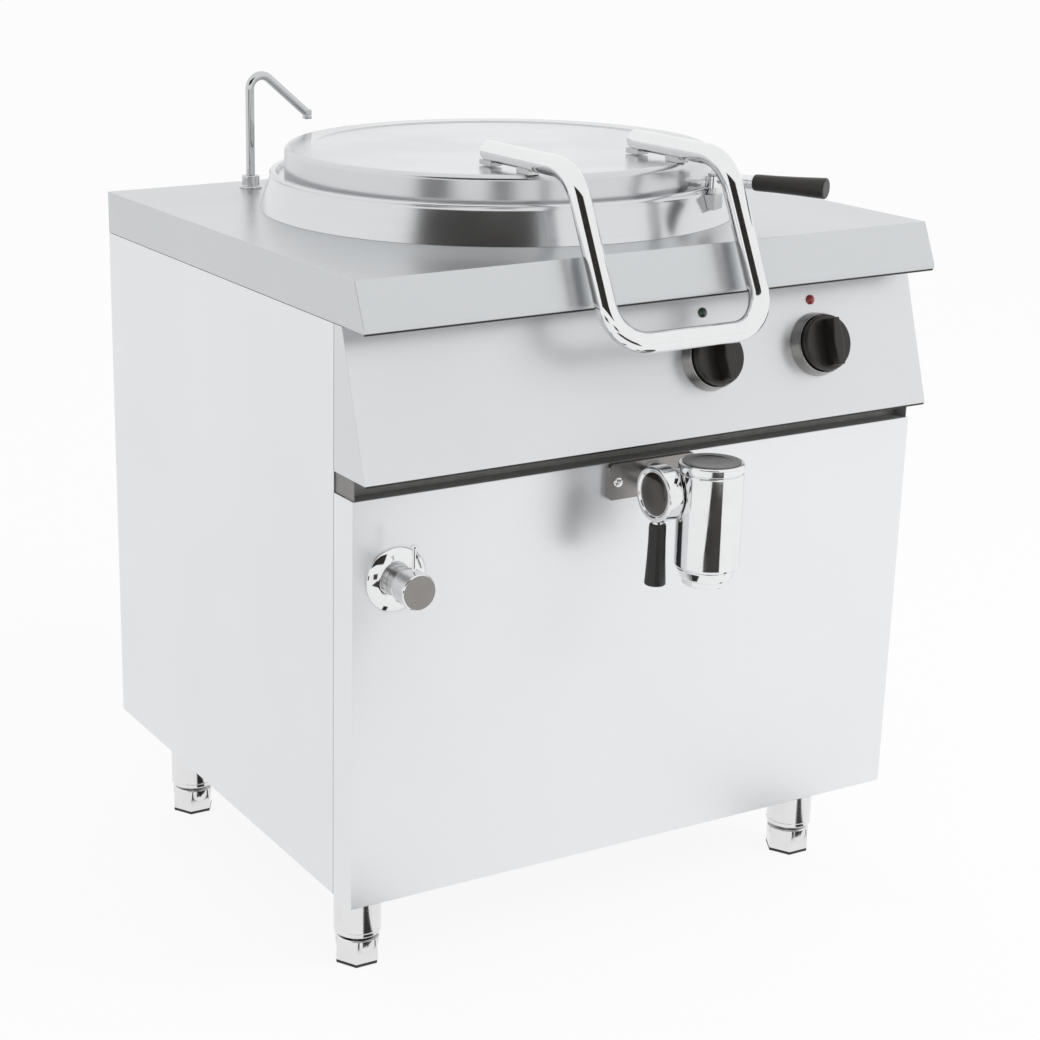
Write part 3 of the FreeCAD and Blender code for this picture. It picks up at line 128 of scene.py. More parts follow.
# %% [markdown]
# ## Folded sheet
# The cabinet is folded from stainless sheet. The CAD shape of each panel is right but for its knife edges,
# so nothing is modelled anew: a copy of the node is merged, its flat faces become one face each, and then
# its folds are rounded. The merge comes first, because a CAD mesh is loose triangles, and a bevel needs
# edges that are shared. Where three folds meet a bevel can reach past the corner, so each point is kept in
# the box of the CAD node.


# %% rounding the folds of a sheet
def folded(node, width, segments=3):
    """A copy of a CAD node, merged into flat faces, with its folds and cut edges rounded."""
    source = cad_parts[node]
    piece = source.copy()
    piece.data = source.data.copy()
    piece.parent = None
    piece.name = node + "_sheet"
    bpy.context.scene.collection.objects.link(piece)
    only(piece)
    bpy.ops.mesh.customdata_custom_splitnormals_clear()
    bpy.ops.object.mode_set(mode="EDIT")
    bpy.ops.mesh.select_all(action="SELECT")
    bpy.ops.mesh.remove_doubles(threshold=0.00001)
    bpy.ops.mesh.dissolve_limited(angle_limit=math.radians(0.5))
    bpy.ops.object.mode_set(mode="OBJECT")
    soften(piece, width, segments)
    low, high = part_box(node)
    for vertex in piece.data.vertices:
        vertex.co = [min(max(value, least), most) for value, least, most in zip(vertex.co, low, high)]
    return piece


print(len(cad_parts), "CAD nodes can be copied")


# %% putting a finished piece on its body
def wear(piece, body, node, finish):
    """Give a finished piece its body and its finish, and hide the CAD node or nodes that it stands for."""
    piece.data.materials.clear()
    piece.data.materials.append(finish)
    for face in piece.data.polygons:
        face.material_index = 0
    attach(piece, body)
    for name in node if isinstance(node, list) else [node]:
        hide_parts(name)
    print(piece.name, "rides on", body, "with", len(piece.data.polygons), "faces")
    return piece


# %% [markdown]
# ## Ground finish
# Stainless sheet is ground in one direction. A photograph of steel could be laid on, but it would repeat
# and carry someone else's light, so the grain is a noise that is stretched along one axis. It moves the
# colour and the roughness a little and gives a very low bump. Larger, fainter noise on top breaks up the
# reflections, as handling and wiping do. All of it reads Object coordinates, so it stays on the metal.


# %% a blank finish
def new_finish(name, color, metallic, roughness):
    """A material with its shader's own values set, returned with its nodes and links."""
    finish = bpy.data.materials.new(name)
    finish.use_nodes = True
    nodes, links = finish.node_tree.nodes, finish.node_tree.links
    shader = nodes["Principled BSDF"]
    shader.inputs["Base Color"].default_value = (*color, 1)
    shader.inputs["Metallic"].default_value = metallic
    shader.inputs["Roughness"].default_value = roughness
    return finish, nodes, links, shader


print(len(bpy.data.materials), "materials came with the frame")


# %% a noise and what it moves
def noise_on(nodes, links, vector, scale, detail=3):
    """A cloudy pattern of the given scale."""
    noise = nodes.new("ShaderNodeTexNoise")
    noise.inputs["Scale"].default_value = scale
    noise.inputs["Detail"].default_value = detail
    links.new(vector, noise.inputs["Vector"])
    return noise.outputs["Fac"]


def spread(nodes, links, value, low, high):
    """Map a noise from its usual middle range to a range of values."""
    mapped = nodes.new("ShaderNodeMapRange")
    mapped.inputs["From Min"].default_value = 0.3
    mapped.inputs["From Max"].default_value = 0.7
    mapped.inputs["To Min"].default_value = low
    mapped.inputs["To Max"].default_value = high
    links.new(value, mapped.inputs["Value"])
    return mapped.outputs["Result"]


def tint(nodes, links, value, dark, light, target):
    """Colour between two tones by a value from 0 to 1."""
    mix = nodes.new("ShaderNodeMix")
    mix.data_type = "RGBA"
    mix.inputs["A"].default_value = (*dark, 1)
    mix.inputs["B"].default_value = (*light, 1)
    links.new(value, mix.inputs["Factor"])
    links.new(mix.outputs["Result"], target)


def emboss(nodes, links, shader, value, strength, distance):
    """Raise the surface a little where the value is high."""
    bump = nodes.new("ShaderNodeBump")
    bump.inputs["Strength"].default_value = strength
    bump.inputs["Distance"].default_value = distance
    links.new(value, bump.inputs["Height"])
    links.new(bump.outputs["Normal"], shader.inputs["Normal"])


print("a noise can move colour, roughness and height")


# %% ground sheet, with its grain along one axis
def ground_sheet(name, grain, tone, low=0.28, high=0.36):
    """Stainless sheet; grain is the stretch of the noise along x, y and z."""
    dark = tuple(value * 0.985 for value in tone)
    finish, nodes, links, shader = new_finish(name, tone, 0.85, (low + high) / 2)
    place = nodes.new("ShaderNodeTexCoord")
    stretch = nodes.new("ShaderNodeMapping")
    stretch.inputs["Scale"].default_value = grain
    links.new(place.outputs["Object"], stretch.inputs["Vector"])
    lines = noise_on(nodes, links, stretch.outputs["Vector"], 1.0, 2)
    handling = noise_on(nodes, links, place.outputs["Object"], 5.0, 3)
    both = nodes.new("ShaderNodeMath")
    both.operation = "MULTIPLY_ADD"
    both.inputs[1].default_value = 0.85
    links.new(handling, both.inputs[0])
    share = nodes.new("ShaderNodeMath")
    share.operation = "MULTIPLY"
    share.inputs[1].default_value = 0.15
    links.new(lines, share.inputs[0])
    links.new(share.outputs[0], both.inputs[2])
    links.new(spread(nodes, links, both.outputs[0], low, high), shader.inputs["Roughness"])
    tint(nodes, links, spread(nodes, links, lines, 0, 1), dark, tone, shader.inputs["Base Color"])
    emboss(nodes, links, shader, lines, 0.01, 0.0001)
    return finish


ALONG_X, ALONG_Z = (9, 1100, 1100), (1100, 1100, 9)
across = ground_sheet("sheet_ground_across", ALONG_X, (0.83, 0.84, 0.855))
# The control panel and the worktop are the same steel as the front. Their darker tones are painted shade,
# set against the bright sky that they mirror.
panel_steel_painted_shade = ground_sheet("panel_ground_painted_shade", ALONG_X, (0.72, 0.73, 0.743))
upright = ground_sheet("sheet_ground_upright", ALONG_Z, (0.82, 0.83, 0.845))
worktop_steel_painted_shade = ground_sheet("worktop_ground_painted_shade", ALONG_X, (0.62, 0.637, 0.65), 0.27, 0.34)
print("four ground finishes, with", len(across.node_tree.nodes), "nodes each")

# %% [markdown]
# ## Patchy finishes
# The back and the tray are zinc coated, and zinc shows crystals, each a little lighter or darker than the
# next. A Voronoi pattern has such cells. The same recipe with soft noise in place of the cells gives scaled
# rods, turned brass and mineral wool further on.


# %% a finish with patches
def mottled(name, dark, light, metallic, low, high, scale, cells=False, bump=0.2):
    """A finish with patches: crystals on zinc, scale on hot rods, fibres in wool."""
    finish, nodes, links, shader = new_finish(name, light, metallic, (low + high) / 2)
    place = nodes.new("ShaderNodeTexCoord")
    if cells:
        patches = nodes.new("ShaderNodeTexVoronoi")
        patches.inputs["Scale"].default_value = scale
        links.new(place.outputs["Object"], patches.inputs["Vector"])
        apart = nodes.new("ShaderNodeSeparateColor")
        links.new(patches.outputs["Color"], apart.inputs["Color"])
        value = apart.outputs["Red"]
    else:
        value = spread(nodes, links, noise_on(nodes, links, place.outputs["Object"], scale, 5), 0, 1)
    rough = nodes.new("ShaderNodeMapRange")
    rough.inputs["To Min"].default_value = low
    rough.inputs["To Max"].default_value = high
    links.new(value, rough.inputs["Value"])
    links.new(rough.outputs["Result"], shader.inputs["Roughness"])
    tint(nodes, links, value, dark, light, shader.inputs["Base Color"])
    emboss(nodes, links, shader, value, bump, 0.0002)
    return finish


zinc = mottled("zinc_coated", (0.46, 0.47, 0.48), (0.60, 0.61, 0.62), 1, 0.34, 0.5, 90, cells=True,
               bump=0.03)
print("zinc has", len(zinc.node_tree.nodes), "nodes")

# %% [markdown]
# ## Sheets of the cabinet
# The worktop is the thickest sheet and has the widest fold, the control panel comes next, and the sides,
# the front, the back and the tray are thinner. So each gets its own radius. The grain runs across the
# machine on all that faces the cook, and upright on the sides.

# %% sheets
# The worktop's and the control panel's darker finishes are painted shade.
wear(folded("worktop", 1.6), "cabinet", "worktop", worktop_steel_painted_shade)
wear(folded("control_panel", 0.9), "cabinet", "control_panel", panel_steel_painted_shade)
wear(folded("front_panel", 0.7), "cabinet", "front_panel", across)
wear(folded("left_side_panel", 0.6), "cabinet", "left_side_panel", upright)
wear(folded("right_side_panel", 0.6), "cabinet", "right_side_panel", upright)
wear(folded("rear_panel", 0.4), "cabinet", "rear_panel", zinc)
wear(folded("base_tray", 0.5), "cabinet", "base_tray", zinc)

# %% [markdown]
# ## Shadow gap
# Between the control panel and the front sheet lies a shadow gap. The strip in it turns round both corners,
# so the copy of the channel is joined with two small plates that close the ends of the gap. The plate is a
# cube drawn to a plate's size with soft edges. It is made once, and the other end gets a copy. The strip's
# dark grey is painted shade, the shade that falls inside the gap.


# %% joining, placing and copying
def joined(name, *pieces):
    """Several meshes as one piece."""
    only(pieces[0])
    for piece in pieces[1:]:
        piece.select_set(True)
    bpy.ops.object.join()
    pieces[0].name = name
    return pieces[0]


def settle(piece, place, turn):
    """Move and turn the finished mesh to its place, so that the object itself stays at the origin."""
    only(piece)
    piece.location = place
    piece.rotation_euler = turn
    bpy.ops.object.transform_apply(location=True, rotation=True, scale=True)


UP = (0, 0, 0)


def copied(piece, name, shift):
    """One more of a repeated piece, with its own mesh, moved by shift in millimetres."""
    twin = piece.copy()
    twin.data = piece.data.copy()
    twin.name = name
    bpy.context.scene.collection.objects.link(twin)
    settle(twin, [value / METRE for value in shift], UP)
    return twin


print("a copy keeps its object at the origin and has its place in its own mesh")


# %% a block between two corners
def filler(name, low, high, width):
    """A block between two corners in millimetres, y counted back from the front panel, with soft edges."""
    bpy.ops.object.select_all(action="DESELECT")
    first, last = spot(*low), spot(*high)
    bpy.ops.mesh.primitive_cube_add(size=1, location=(first + last) / 2)
    piece = bpy.context.object
    piece.name = name
    piece.scale = last - first
    bpy.ops.object.transform_apply(location=True, rotation=True, scale=True)
    return soften(piece, width, 2)


# The strip's dark grey is painted shade, for the shade that falls inside the gap.
shaded = mottled("painted_shade_strip", (0.24, 0.235, 0.23), (0.30, 0.295, 0.29), 0.3, 0.4, 0.5, 60,
                 bump=0.02)
print("the strip's finish is", shaded.name)

# %% shadow gap
channel = folded("gap_channel", 0.5)
left_plate = filler("end_plate_left", (-397.8, 2.0, 628.1), (-396.6, 60.0, 652.9), 0.3)
right_plate = copied(left_plate, "end_plate_right", (794.4, 0, 0))
strip = joined("gap_strip", channel, left_plate, right_plate)
wear(strip, "cabinet", "gap_channel", shaded)

# %% [markdown]
# ## Black plastic and rubber
# Grips and knobs are moulded in black plastic with a fine spark-eroded grain, and the dark strips get the
# same black, two of them as painted shadow lines. It is not quite black, and hands have polished it in
# places, so the roughness has a slow pattern as well as the grain. A metallic value would be wrong here:
# plastic mirrors white light without colour.


# %% moulded finish
def moulded(name, dark, light, low, high, grain):
    """Plastic with a slow change of tone and gloss, and a fine grain."""
    finish, nodes, links, shader = new_finish(name, dark, 0, (low + high) / 2)
    place = nodes.new("ShaderNodeTexCoord")
    slow = noise_on(nodes, links, place.outputs["Object"], 30, 3)
    fine = noise_on(nodes, links, place.outputs["Object"], grain, 2)
    links.new(spread(nodes, links, slow, low, high), shader.inputs["Roughness"])
    tint(nodes, links, spread(nodes, links, slow, 0, 1), dark, light, shader.inputs["Base Color"])
    emboss(nodes, links, shader, fine, 0.25, 0.0003)
    return finish


black = moulded("black_plastic", (0.010, 0.009, 0.008), (0.019, 0.016, 0.014), 0.26, 0.38, 1500)
print("black plastic has", len(black.node_tree.nodes), "nodes")

# %% [markdown]
# ## Shadow lines and joint strips
# Where two sheets meet, the joint shows as a thin dark line. Under the nose of the worktop and under the lip
# of the control panel that line is shade, and a thin black strip is put in it as a painted shadow line. Dark
# strips also stand upright in the joints beside the front panel. A dark line could be painted on the sheet,
# but a strip also shows from below.

# %% sealing strips
STRIP_END = 398.6
# The strips under the nose and under the panel's lip are painted shadow lines, black where only shade falls.
dark_strips = [filler("shadow_line_nose", (-STRIP_END, -22.4, 819.8), (STRIP_END, -20.6, 822.4), 0.1),
         filler("shadow_line_panel", (-STRIP_END, -26.4, 650.7), (STRIP_END, -24.4, 653.4), 0.1)]
for low, high in ((128, 627.5), (653.5, 821)):
    left_joint_strip = filler("joint_strip_left", (-399.88, 44.6, low), (-STRIP_END, 45.9, high), 0.1)
    dark_strips += [left_joint_strip, copied(left_joint_strip, "joint_strip_right", (798.48, 0, 0))]
wear(joined("shadow_and_joint_strips", *dark_strips), "cabinet", [], black)

# %% [markdown]
# ## Turning a profile
# The collar, the lid, the knobs and the taps are round, because they are spun or turned on a lathe. The
# spin operator could sweep a profile, but pushing a ring along the axis and resizing it at each step is
# what a lathe hand thinks in: radius and height. The profile is a list of those two numbers. A ring that
# runs back to its start gives a hollow piece, and any other gets two flat ends.


# %% choosing points and closing a flat end
def choose_points(piece, wanted):
    """In edit mode, select the points for which wanted is true, and nothing else."""
    bpy.ops.mesh.select_all(action="DESELECT")
    bpy.ops.object.mode_set(mode="OBJECT")
    for vertex in piece.data.vertices:
        vertex.select = wanted(vertex)
    bpy.ops.object.mode_set(mode="EDIT")
    bpy.ops.mesh.select_mode(type="VERT")


def close_start(piece, sides):
    """Fill the ring that the piece was started from with one flat face."""
    choose_points(piece, lambda vertex: vertex.index < sides)
    bpy.ops.mesh.edge_face_add()


print("the first ring of a piece holds its first points")


# %% turning a profile
def turned(name, profile, place, turn=UP, hollow=False, sides=96, width=0.6):
    """Rings of (radius, height) in millimetres; solid with flat ends, or hollow and closed on itself."""
    bpy.ops.object.select_all(action="DESELECT")
    radius, height = profile[0]
    bpy.ops.mesh.primitive_circle_add(vertices=sides, radius=radius / METRE,
                                      location=(0, 0, height / METRE))
    piece = bpy.context.object
    piece.name = name
    bpy.ops.object.transform_apply(location=True, rotation=True, scale=True)
    bpy.ops.object.mode_set(mode="EDIT")
    bpy.ops.mesh.select_all(action="SELECT")
    following = profile[1:] + profile[:1] if hollow else profile[1:]
    for (before, low), (after, high) in zip(profile, following):
        bpy.ops.mesh.extrude_region_move(TRANSFORM_OT_translate={"value": (0, 0, (high - low) / METRE)})
        share = after / before
        bpy.ops.transform.resize(value=(share, share, 1), center_override=(0, 0, high / METRE))
    if hollow:
        bpy.ops.mesh.select_all(action="SELECT")
        bpy.ops.mesh.remove_doubles(threshold=0.00001)
        bpy.ops.mesh.delete_loose()
    else:
        bpy.ops.mesh.edge_face_add()
        close_start(piece, sides)
    bpy.ops.mesh.select_all(action="SELECT")
    bpy.ops.mesh.normals_make_consistent(inside=False)
    bpy.ops.object.mode_set(mode="OBJECT")
    soften(piece, width)
    settle(piece, place, turn)
    return piece


print("a round piece has 96 sides, unless it says otherwise")


# %% an arc of profile points
def arc(radius, height, size, start, end, steps=6):
    """Points on a quarter or so of a small circle, from one angle to another in degrees."""
    angles = [math.radians(start + (end - start) * step / steps) for step in range(steps + 1)]
    return [(radius + size * math.cos(a), height + size * math.sin(a)) for a in angles]


print("a quarter of a circle takes", len(arc(0, 0, 1, 0, 90)), "points")

# %% [markdown]
# ## Steel polished in rings
# The lid and the collar are polished on the lathe, so their grain runs in circles. The noise reads the
# distance from the pan's axis and the height, and nothing else, which draws fine rings. A stretched noise
# as on the sheets would draw straight lines across a round lid.


# %% finish with rings round the pan's axis
def ringed(name, centre, tone, low, high, stretch=0.0):
    """Steel polished in circles about an upright axis through centre."""
    finish, nodes, links, shader = new_finish(name, tone, 1, (low + high) / 2)
    place = nodes.new("ShaderNodeTexCoord")
    move = nodes.new("ShaderNodeMapping")
    move.inputs["Location"].default_value = (-centre.x, -centre.y, 0)
    links.new(place.outputs["Object"], move.inputs["Vector"])
    parts = nodes.new("ShaderNodeSeparateXYZ")
    links.new(move.outputs["Vector"], parts.inputs["Vector"])
    flat = nodes.new("ShaderNodeCombineXYZ")
    links.new(parts.outputs["X"], flat.inputs["X"])
    links.new(parts.outputs["Y"], flat.inputs["Y"])
    reach = nodes.new("ShaderNodeVectorMath")
    reach.operation = "LENGTH"
    links.new(flat.outputs["Vector"], reach.inputs[0])
    polar = nodes.new("ShaderNodeCombineXYZ")
    links.new(reach.outputs["Value"], polar.inputs["X"])
    links.new(parts.outputs["Z"], polar.inputs["Y"])
    rings = noise_on(nodes, links, polar.outputs["Vector"], 700, 3)
    handling = noise_on(nodes, links, place.outputs["Object"], 7, 3)
    links.new(spread(nodes, links, handling, low, high), shader.inputs["Roughness"])
    tint(nodes, links, spread(nodes, links, rings, 0, 1), tuple(value * 0.97 for value in tone), tone,
         shader.inputs["Base Color"])
    emboss(nodes, links, shader, rings, 0.06, 0.0001)
    shader.inputs["Anisotropic"].default_value = stretch
    return finish


pan_axis = spot(0, 354, TOP)
lid_steel = ringed("lid_spun", pan_axis, (0.66, 0.67, 0.682), 0.16, 0.26, 0.35)
collar_steel = ringed("collar_spun", pan_axis, (0.70, 0.71, 0.722), 0.14, 0.22, 0.35)
vessel_steel = ringed("vessel_drawn", pan_axis, (0.70, 0.70, 0.70), 0.22, 0.34, 0.2)
print("rings run about", [round(value, 3) for value in pan_axis])

# %% [markdown]
# ## Collar
# The collar is a cone with a rolled rim, and it turns down inside to the ledge that the lid sits on. Its
# profile goes up the cone, over the rim in an arc, down to the ledge, and back under the metal to its
# start, which gives the sheet its real thickness.

# %% collar
outside = [(305, 0), (292, 39.5)] + arc(289.5, 44, 3, 0, 90)
inside = [(284.5, 47), (280, 39.2), (264.3, 39)]
underside = [(264.3, 37), (281, 37), (284.8, 45), (286, 45), (289.5, 40.4), (303, 0)]
collar = turned("collar_cone", outside + inside + underside, pan_axis, hollow=True, sides=192, width=0)
soften(collar, 0.5, 2)
wear(collar, "cabinet", "pan_collar", collar_steel)

# %% [markdown]
# ## Lid
# The lid is a flat pressing with a rounded rim and a shallow step near its edge. It starts and ends with a
# ring that is next to nothing wide, which closes its middle when the doubles are merged. The vessel below
# keeps its CAD shape and gets drawn steel.

# %% lid and vessel
above = [(0.004, 77.3), (60, 77.3), (233, 77.3), (234.5, 77.6), (236, 78.5)] + arc(266, 71.5, 7, 90, 0, 8)
below = arc(266, 71.5, 5, 0, 90, 6) + [(236, 76.5), (233, 75.3), (60, 75.3), (0.004, 75.3)]
lid = turned("lid_pressing", above + [(273, 39.3), (271, 39.3)] + below, pan_axis, hollow=True, sides=192,
             width=0)
soften(lid, 0)
wear(lid, "lid", "lid_shell", lid_steel)

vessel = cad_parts["pan_vessel"].data
vessel.materials.clear()
vessel.materials.append(vessel_steel)
print("the vessel wears", vessel.materials[0].name)

# %% [markdown]
# ## Bending a bar
# Handles and pipes are straight bar that was bent round a former. A curve with a round bevel could make
# one, but it stretches its rings at tight bends. A ring that is pushed along the straight runs and spun
# round each bend keeps its round section, which is also how a tube bender works. With no window, spin
# turns the other way, so its axis is reversed.


# %% bending a bar
def bent_bar(name, points, bends, radius, sides=40, width=0.8):
    """A ring pushed along the straight runs between points and spun round each bend."""
    ahead = (points[1] - points[0]).normalized()
    bpy.ops.object.select_all(action="DESELECT")
    bpy.ops.mesh.primitive_circle_add(vertices=sides, radius=radius / METRE, location=points[0],
                                      rotation=ahead.to_track_quat("Z", "Y").to_euler())
    piece = bpy.context.object
    piece.name = name
    bpy.ops.object.transform_apply(location=True, rotation=True, scale=True)
    bpy.ops.object.mode_set(mode="EDIT")
    bpy.ops.mesh.select_all(action="SELECT")
    here = points[0]
    for before, corner, after, bend in zip(points, points[1:], points[2:], bends):
        into = (corner - before).normalized()
        out = (after - corner).normalized()
        axis = into.cross(out).normalized()
        swing = into.angle(out)
        start = corner - into * (bend / METRE * math.tan(swing / 2))
        bpy.ops.mesh.extrude_region_move(TRANSFORM_OT_translate={"value": start - here})
        centre = start + axis.cross(into) * bend / METRE
        steps = max(6, round(math.degrees(swing) / 4))
        bpy.ops.mesh.spin(steps=steps, angle=swing, center=centre, axis=-axis)
        here = corner + out * (bend / METRE * math.tan(swing / 2))
    bpy.ops.mesh.extrude_region_move(TRANSFORM_OT_translate={"value": points[-1] - here})
    bpy.ops.mesh.edge_face_add()
    close_start(piece, sides)
    bpy.ops.mesh.select_all(action="SELECT")
    bpy.ops.mesh.remove_doubles(threshold=0.000001)
    bpy.ops.mesh.normals_make_consistent(inside=False)
    bpy.ops.object.mode_set(mode="OBJECT")
    return soften(piece, width)


print("a bend is divided every 4 degrees or so")

# %% [markdown]
# ## Bright metal
# Bright fittings are polished or chrome plated. A mirror finish still has faint polishing waves and
# fingerprints, so its roughness moves between almost none and a little. Duller fittings use the same recipe
# with a darker tone or more roughness, because they differ in nothing else. Some chrome fittings get a
# darker tone too, as painted reflection or painted shade.


# %% bright finishes
def bright(name, tone, low=0.035, high=0.10):
    """Polished metal of one tone, with waves and fingerprints."""
    finish, nodes, links, shader = new_finish(name, tone, 1, (low + high) / 2)
    place = nodes.new("ShaderNodeTexCoord")
    touch = noise_on(nodes, links, place.outputs["Object"], 38, 4)
    fine = noise_on(nodes, links, place.outputs["Object"], 900, 2)
    links.new(spread(nodes, links, touch, low, high), shader.inputs["Roughness"])
    tint(nodes, links, spread(nodes, links, touch, 0, 1), tone, tuple(value * 0.97 for value in tone),
         shader.inputs["Base Color"])
    emboss(nodes, links, shader, fine, 0.03, 0.0001)
    return finish


chrome = bright("bright_fittings", (0.83, 0.835, 0.84))
satin = bright("satin_fittings", (0.62, 0.62, 0.62), 0.26, 0.31)
print("chrome and satin share", len(chrome.node_tree.nodes), "nodes each")

# %% [markdown]
# ## Lid handle
# One polished bar makes the whole handle. It lies flat on the lid, bends down over the worktop's nose, and
# its cross run hangs in front of the control panel. So its path has three points on each side, and the
# right side is the left one in reverse. The saddles and the hinge are folded or milled, and keep their CAD
# shape with softer edges.

# %% lid handle
HALF = 106.5
KNEE = ((205, 95), (23, 95), (-71, -90))
route = [spot(-HALF, y, TOP + z) for y, z in KNEE] + [spot(HALF, y, TOP + z) for y, z in reversed(KNEE)]
bar = bent_bar("handle_bar", route, (60, 48, 48, 60), 12.5, sides=64, width=1.6)
wear(bar, "lid", "lid_handle", chrome)

# %% saddles and hinge
wear(folded("handle_saddles", 0.8), "lid", "handle_saddles", satin)
wear(folded("lid_hinge_arm", 0.8), "lid", "lid_hinge_arm", satin)
wear(folded("hinge_bracket", 0.8), "cabinet", "hinge_bracket", satin)

# %% [markdown]
# ## Bezels
# Each knob sits inside a bright cone-shaped bezel on the sloping panel. A bezel is a turned ring, made once
# at the left knob and copied to the right one. It is made lying flat and then turned to the slope, because
# the slope only matters once.


# %% places on the sloping panel
def on_slope(x, rise):
    """A place on the control panel, rise millimetres up its slope from the lower edge."""
    tilt = math.radians(17.7)
    return spot(x, -27 + rise * math.sin(tilt), 653 + rise * math.cos(tilt))


SLOPE = (math.radians(90 - 17.7), 0, 0)
LEFT_KNOB, KNOB_STEP = 80, (162, 0, 0)
KNOB_RISE, LAMP_RISE = 90, 145
print("left knob at", [round(value, 3) for value in on_slope(LEFT_KNOB, KNOB_RISE)])

# %% bezels
# The bezels are chrome; their dark tone is painted reflection, standing for the black knobs and dark things
# that they mirror.
bezel_painted_reflection = bright("bezel_plating_painted_reflection", (0.38, 0.37, 0.36), 0.05, 0.10)
cone = [(34.6, 0), (39, 0), (39, 1.6), (38.4, 3), (37, 13.6), (36.2, 15), (35.2, 15), (34.6, 14.2)]
bezel = turned("bezel_left", cone, on_slope(LEFT_KNOB, KNOB_RISE), SLOPE, hollow=True, sides=128, width=0.25)
bezels = joined("bezel_rings", bezel, copied(bezel, "bezel_right", KNOB_STEP))
wear(bezels, "cabinet", "knob_bezels", bezel_painted_reflection)

# %% [markdown]
# ## Knobs
# A knob is a short drum with a wide grip bar across it, moulded in one. The drum is turned. The bar is a
# cube that is cut once each way, so that its ends and its top can be drawn in without moving its middle,
# and then bevelled. Both knobs are alike, so the second is a copy that rides on its own body.


# %% the bar across a knob
BAR_SIZE = (0.0168, 0.0590, 0.0196)
BAR_MIDDLE = (0, 0, 0.034)


def grip_bar(x):
    """The bar across a knob: a cube drawn in at its ends and top, with soft edges."""
    bpy.ops.object.select_all(action="DESELECT")
    bpy.ops.mesh.primitive_cube_add(size=1, location=BAR_MIDDLE)
    piece = bpy.context.object
    piece.scale = BAR_SIZE
    bpy.ops.object.transform_apply(location=True, rotation=True, scale=True)
    bpy.ops.object.mode_set(mode="EDIT")
    bpy.ops.mesh.select_all(action="SELECT")
    bpy.ops.mesh.subdivide(number_cuts=1)
    choose_points(piece, lambda vertex: abs(vertex.co.y) > 0.02)
    bpy.ops.transform.resize(value=(0.62, 1, 1), center_override=BAR_MIDDLE)
    choose_points(piece, lambda vertex: abs(vertex.co.y) > 0.02 or vertex.co.z > 0.04)
    bpy.ops.transform.resize(value=(0.86, 0.97, 1), center_override=BAR_MIDDLE)
    bpy.ops.object.mode_set(mode="OBJECT")
    soften(piece, 1.4, 4)
    settle(piece, on_slope(x, KNOB_RISE), SLOPE)
    return piece


print("the grip bar is", BAR_SIZE[1] * METRE, "mm long before its ends are drawn in")

# %% knobs
skirt = [(3, -14), (3, 1.5), (34, 1.5), (34, 21)] + arc(31, 22, 3, 0, 90, 5)
drum = turned("knob_drum", skirt, on_slope(LEFT_KNOB, KNOB_RISE), SLOPE, sides=128, width=0.3)
knob = joined("knob_moulding_left", drum, grip_bar(LEFT_KNOB))
twin = copied(knob, "knob_moulding_right", KNOB_STEP)
for side, piece in (("left", knob), ("right", twin)):
    wear(piece, f"knob_{side}", f"knob_{side}", black)

# %% [markdown]
# ## Lamps
# Each lamp is a small clear-coated lens, dark green or red while it is off. The lens is turned as a low
# dome on a stem that fills its hole. The coat is one number on the shader, because it is the same all over.

# %% lamps
green_lens = moulded("green_lens_plastic", (0.012, 0.035, 0.018), (0.02, 0.06, 0.03), 0.12, 0.2, 300)
red_lens = moulded("red_lens_plastic", (0.22, 0.010, 0.012), (0.36, 0.014, 0.016), 0.12, 0.2, 300)
for lens in (green_lens, red_lens):
    lens.node_tree.nodes["Principled BSDF"].inputs["Coat Weight"].default_value = 0.8
stem_and_dome = [(4.6, -24), (4.6, 0), (6, 0), (6, 1.2), (4.8, 1.9), (4.5, 2.6), (3.6, 3.8), (2.2, 4.6),
                 (0.8, 5)]
dome = turned("lamp_dome_green", stem_and_dome, on_slope(LEFT_KNOB, LAMP_RISE), SLOPE, sides=48, width=0.2)
twin = copied(dome, "lamp_dome_red", KNOB_STEP)
wear(dome, "cabinet", "lamp_green", green_lens)
wear(twin, "cabinet", "lamp_red", red_lens)

# %% [markdown]
# ## Drain tap
# The tap is chrome-plated brass, cast in one: a neck, a cross housing with the round plug through it, and
# an upright outlet chamber. The casting could be joined by a boolean, but three turned bodies that run into
# each other look the same and keep clean rings.

# %% tap casting
TO_COOK = (math.radians(90), 0, 0)
TO_RIGHT = (0, math.radians(90), 0)
TAP, PLUG, OUT = 606, 614, -118
neck = turned("neck_casting", [(19, -12), (19, 58)], spot(0, 0, TAP), TO_COOK, sides=96, width=0.6)
barrel = [(25, -39), (27, -37), (27, -30), (26, -29), (26, 29), (27, 30), (27, 36), (25, 38)]
housing = turned("housing_casting", barrel, spot(0, -90, PLUG), TO_RIGHT, sides=96, width=0.6)
outlet = [(20, 528), (35.5, 528), (37.5, 531), (37.5, 639), (36.5, 641), (20, 641)]
chamber = turned("chamber_casting", outlet, spot(0, OUT, 0), sides=128, width=0.6)
wear(joined("tap_casting", neck, housing, chamber), "cabinet", "drain_tap_body", chrome)

# %% [markdown]
# The chamber is closed by a screwed cap with a dark inlay, and opens downwards in a conical nozzle. Both
# are turned. The inlay is its own piece, because it has another colour and stands a little proud.

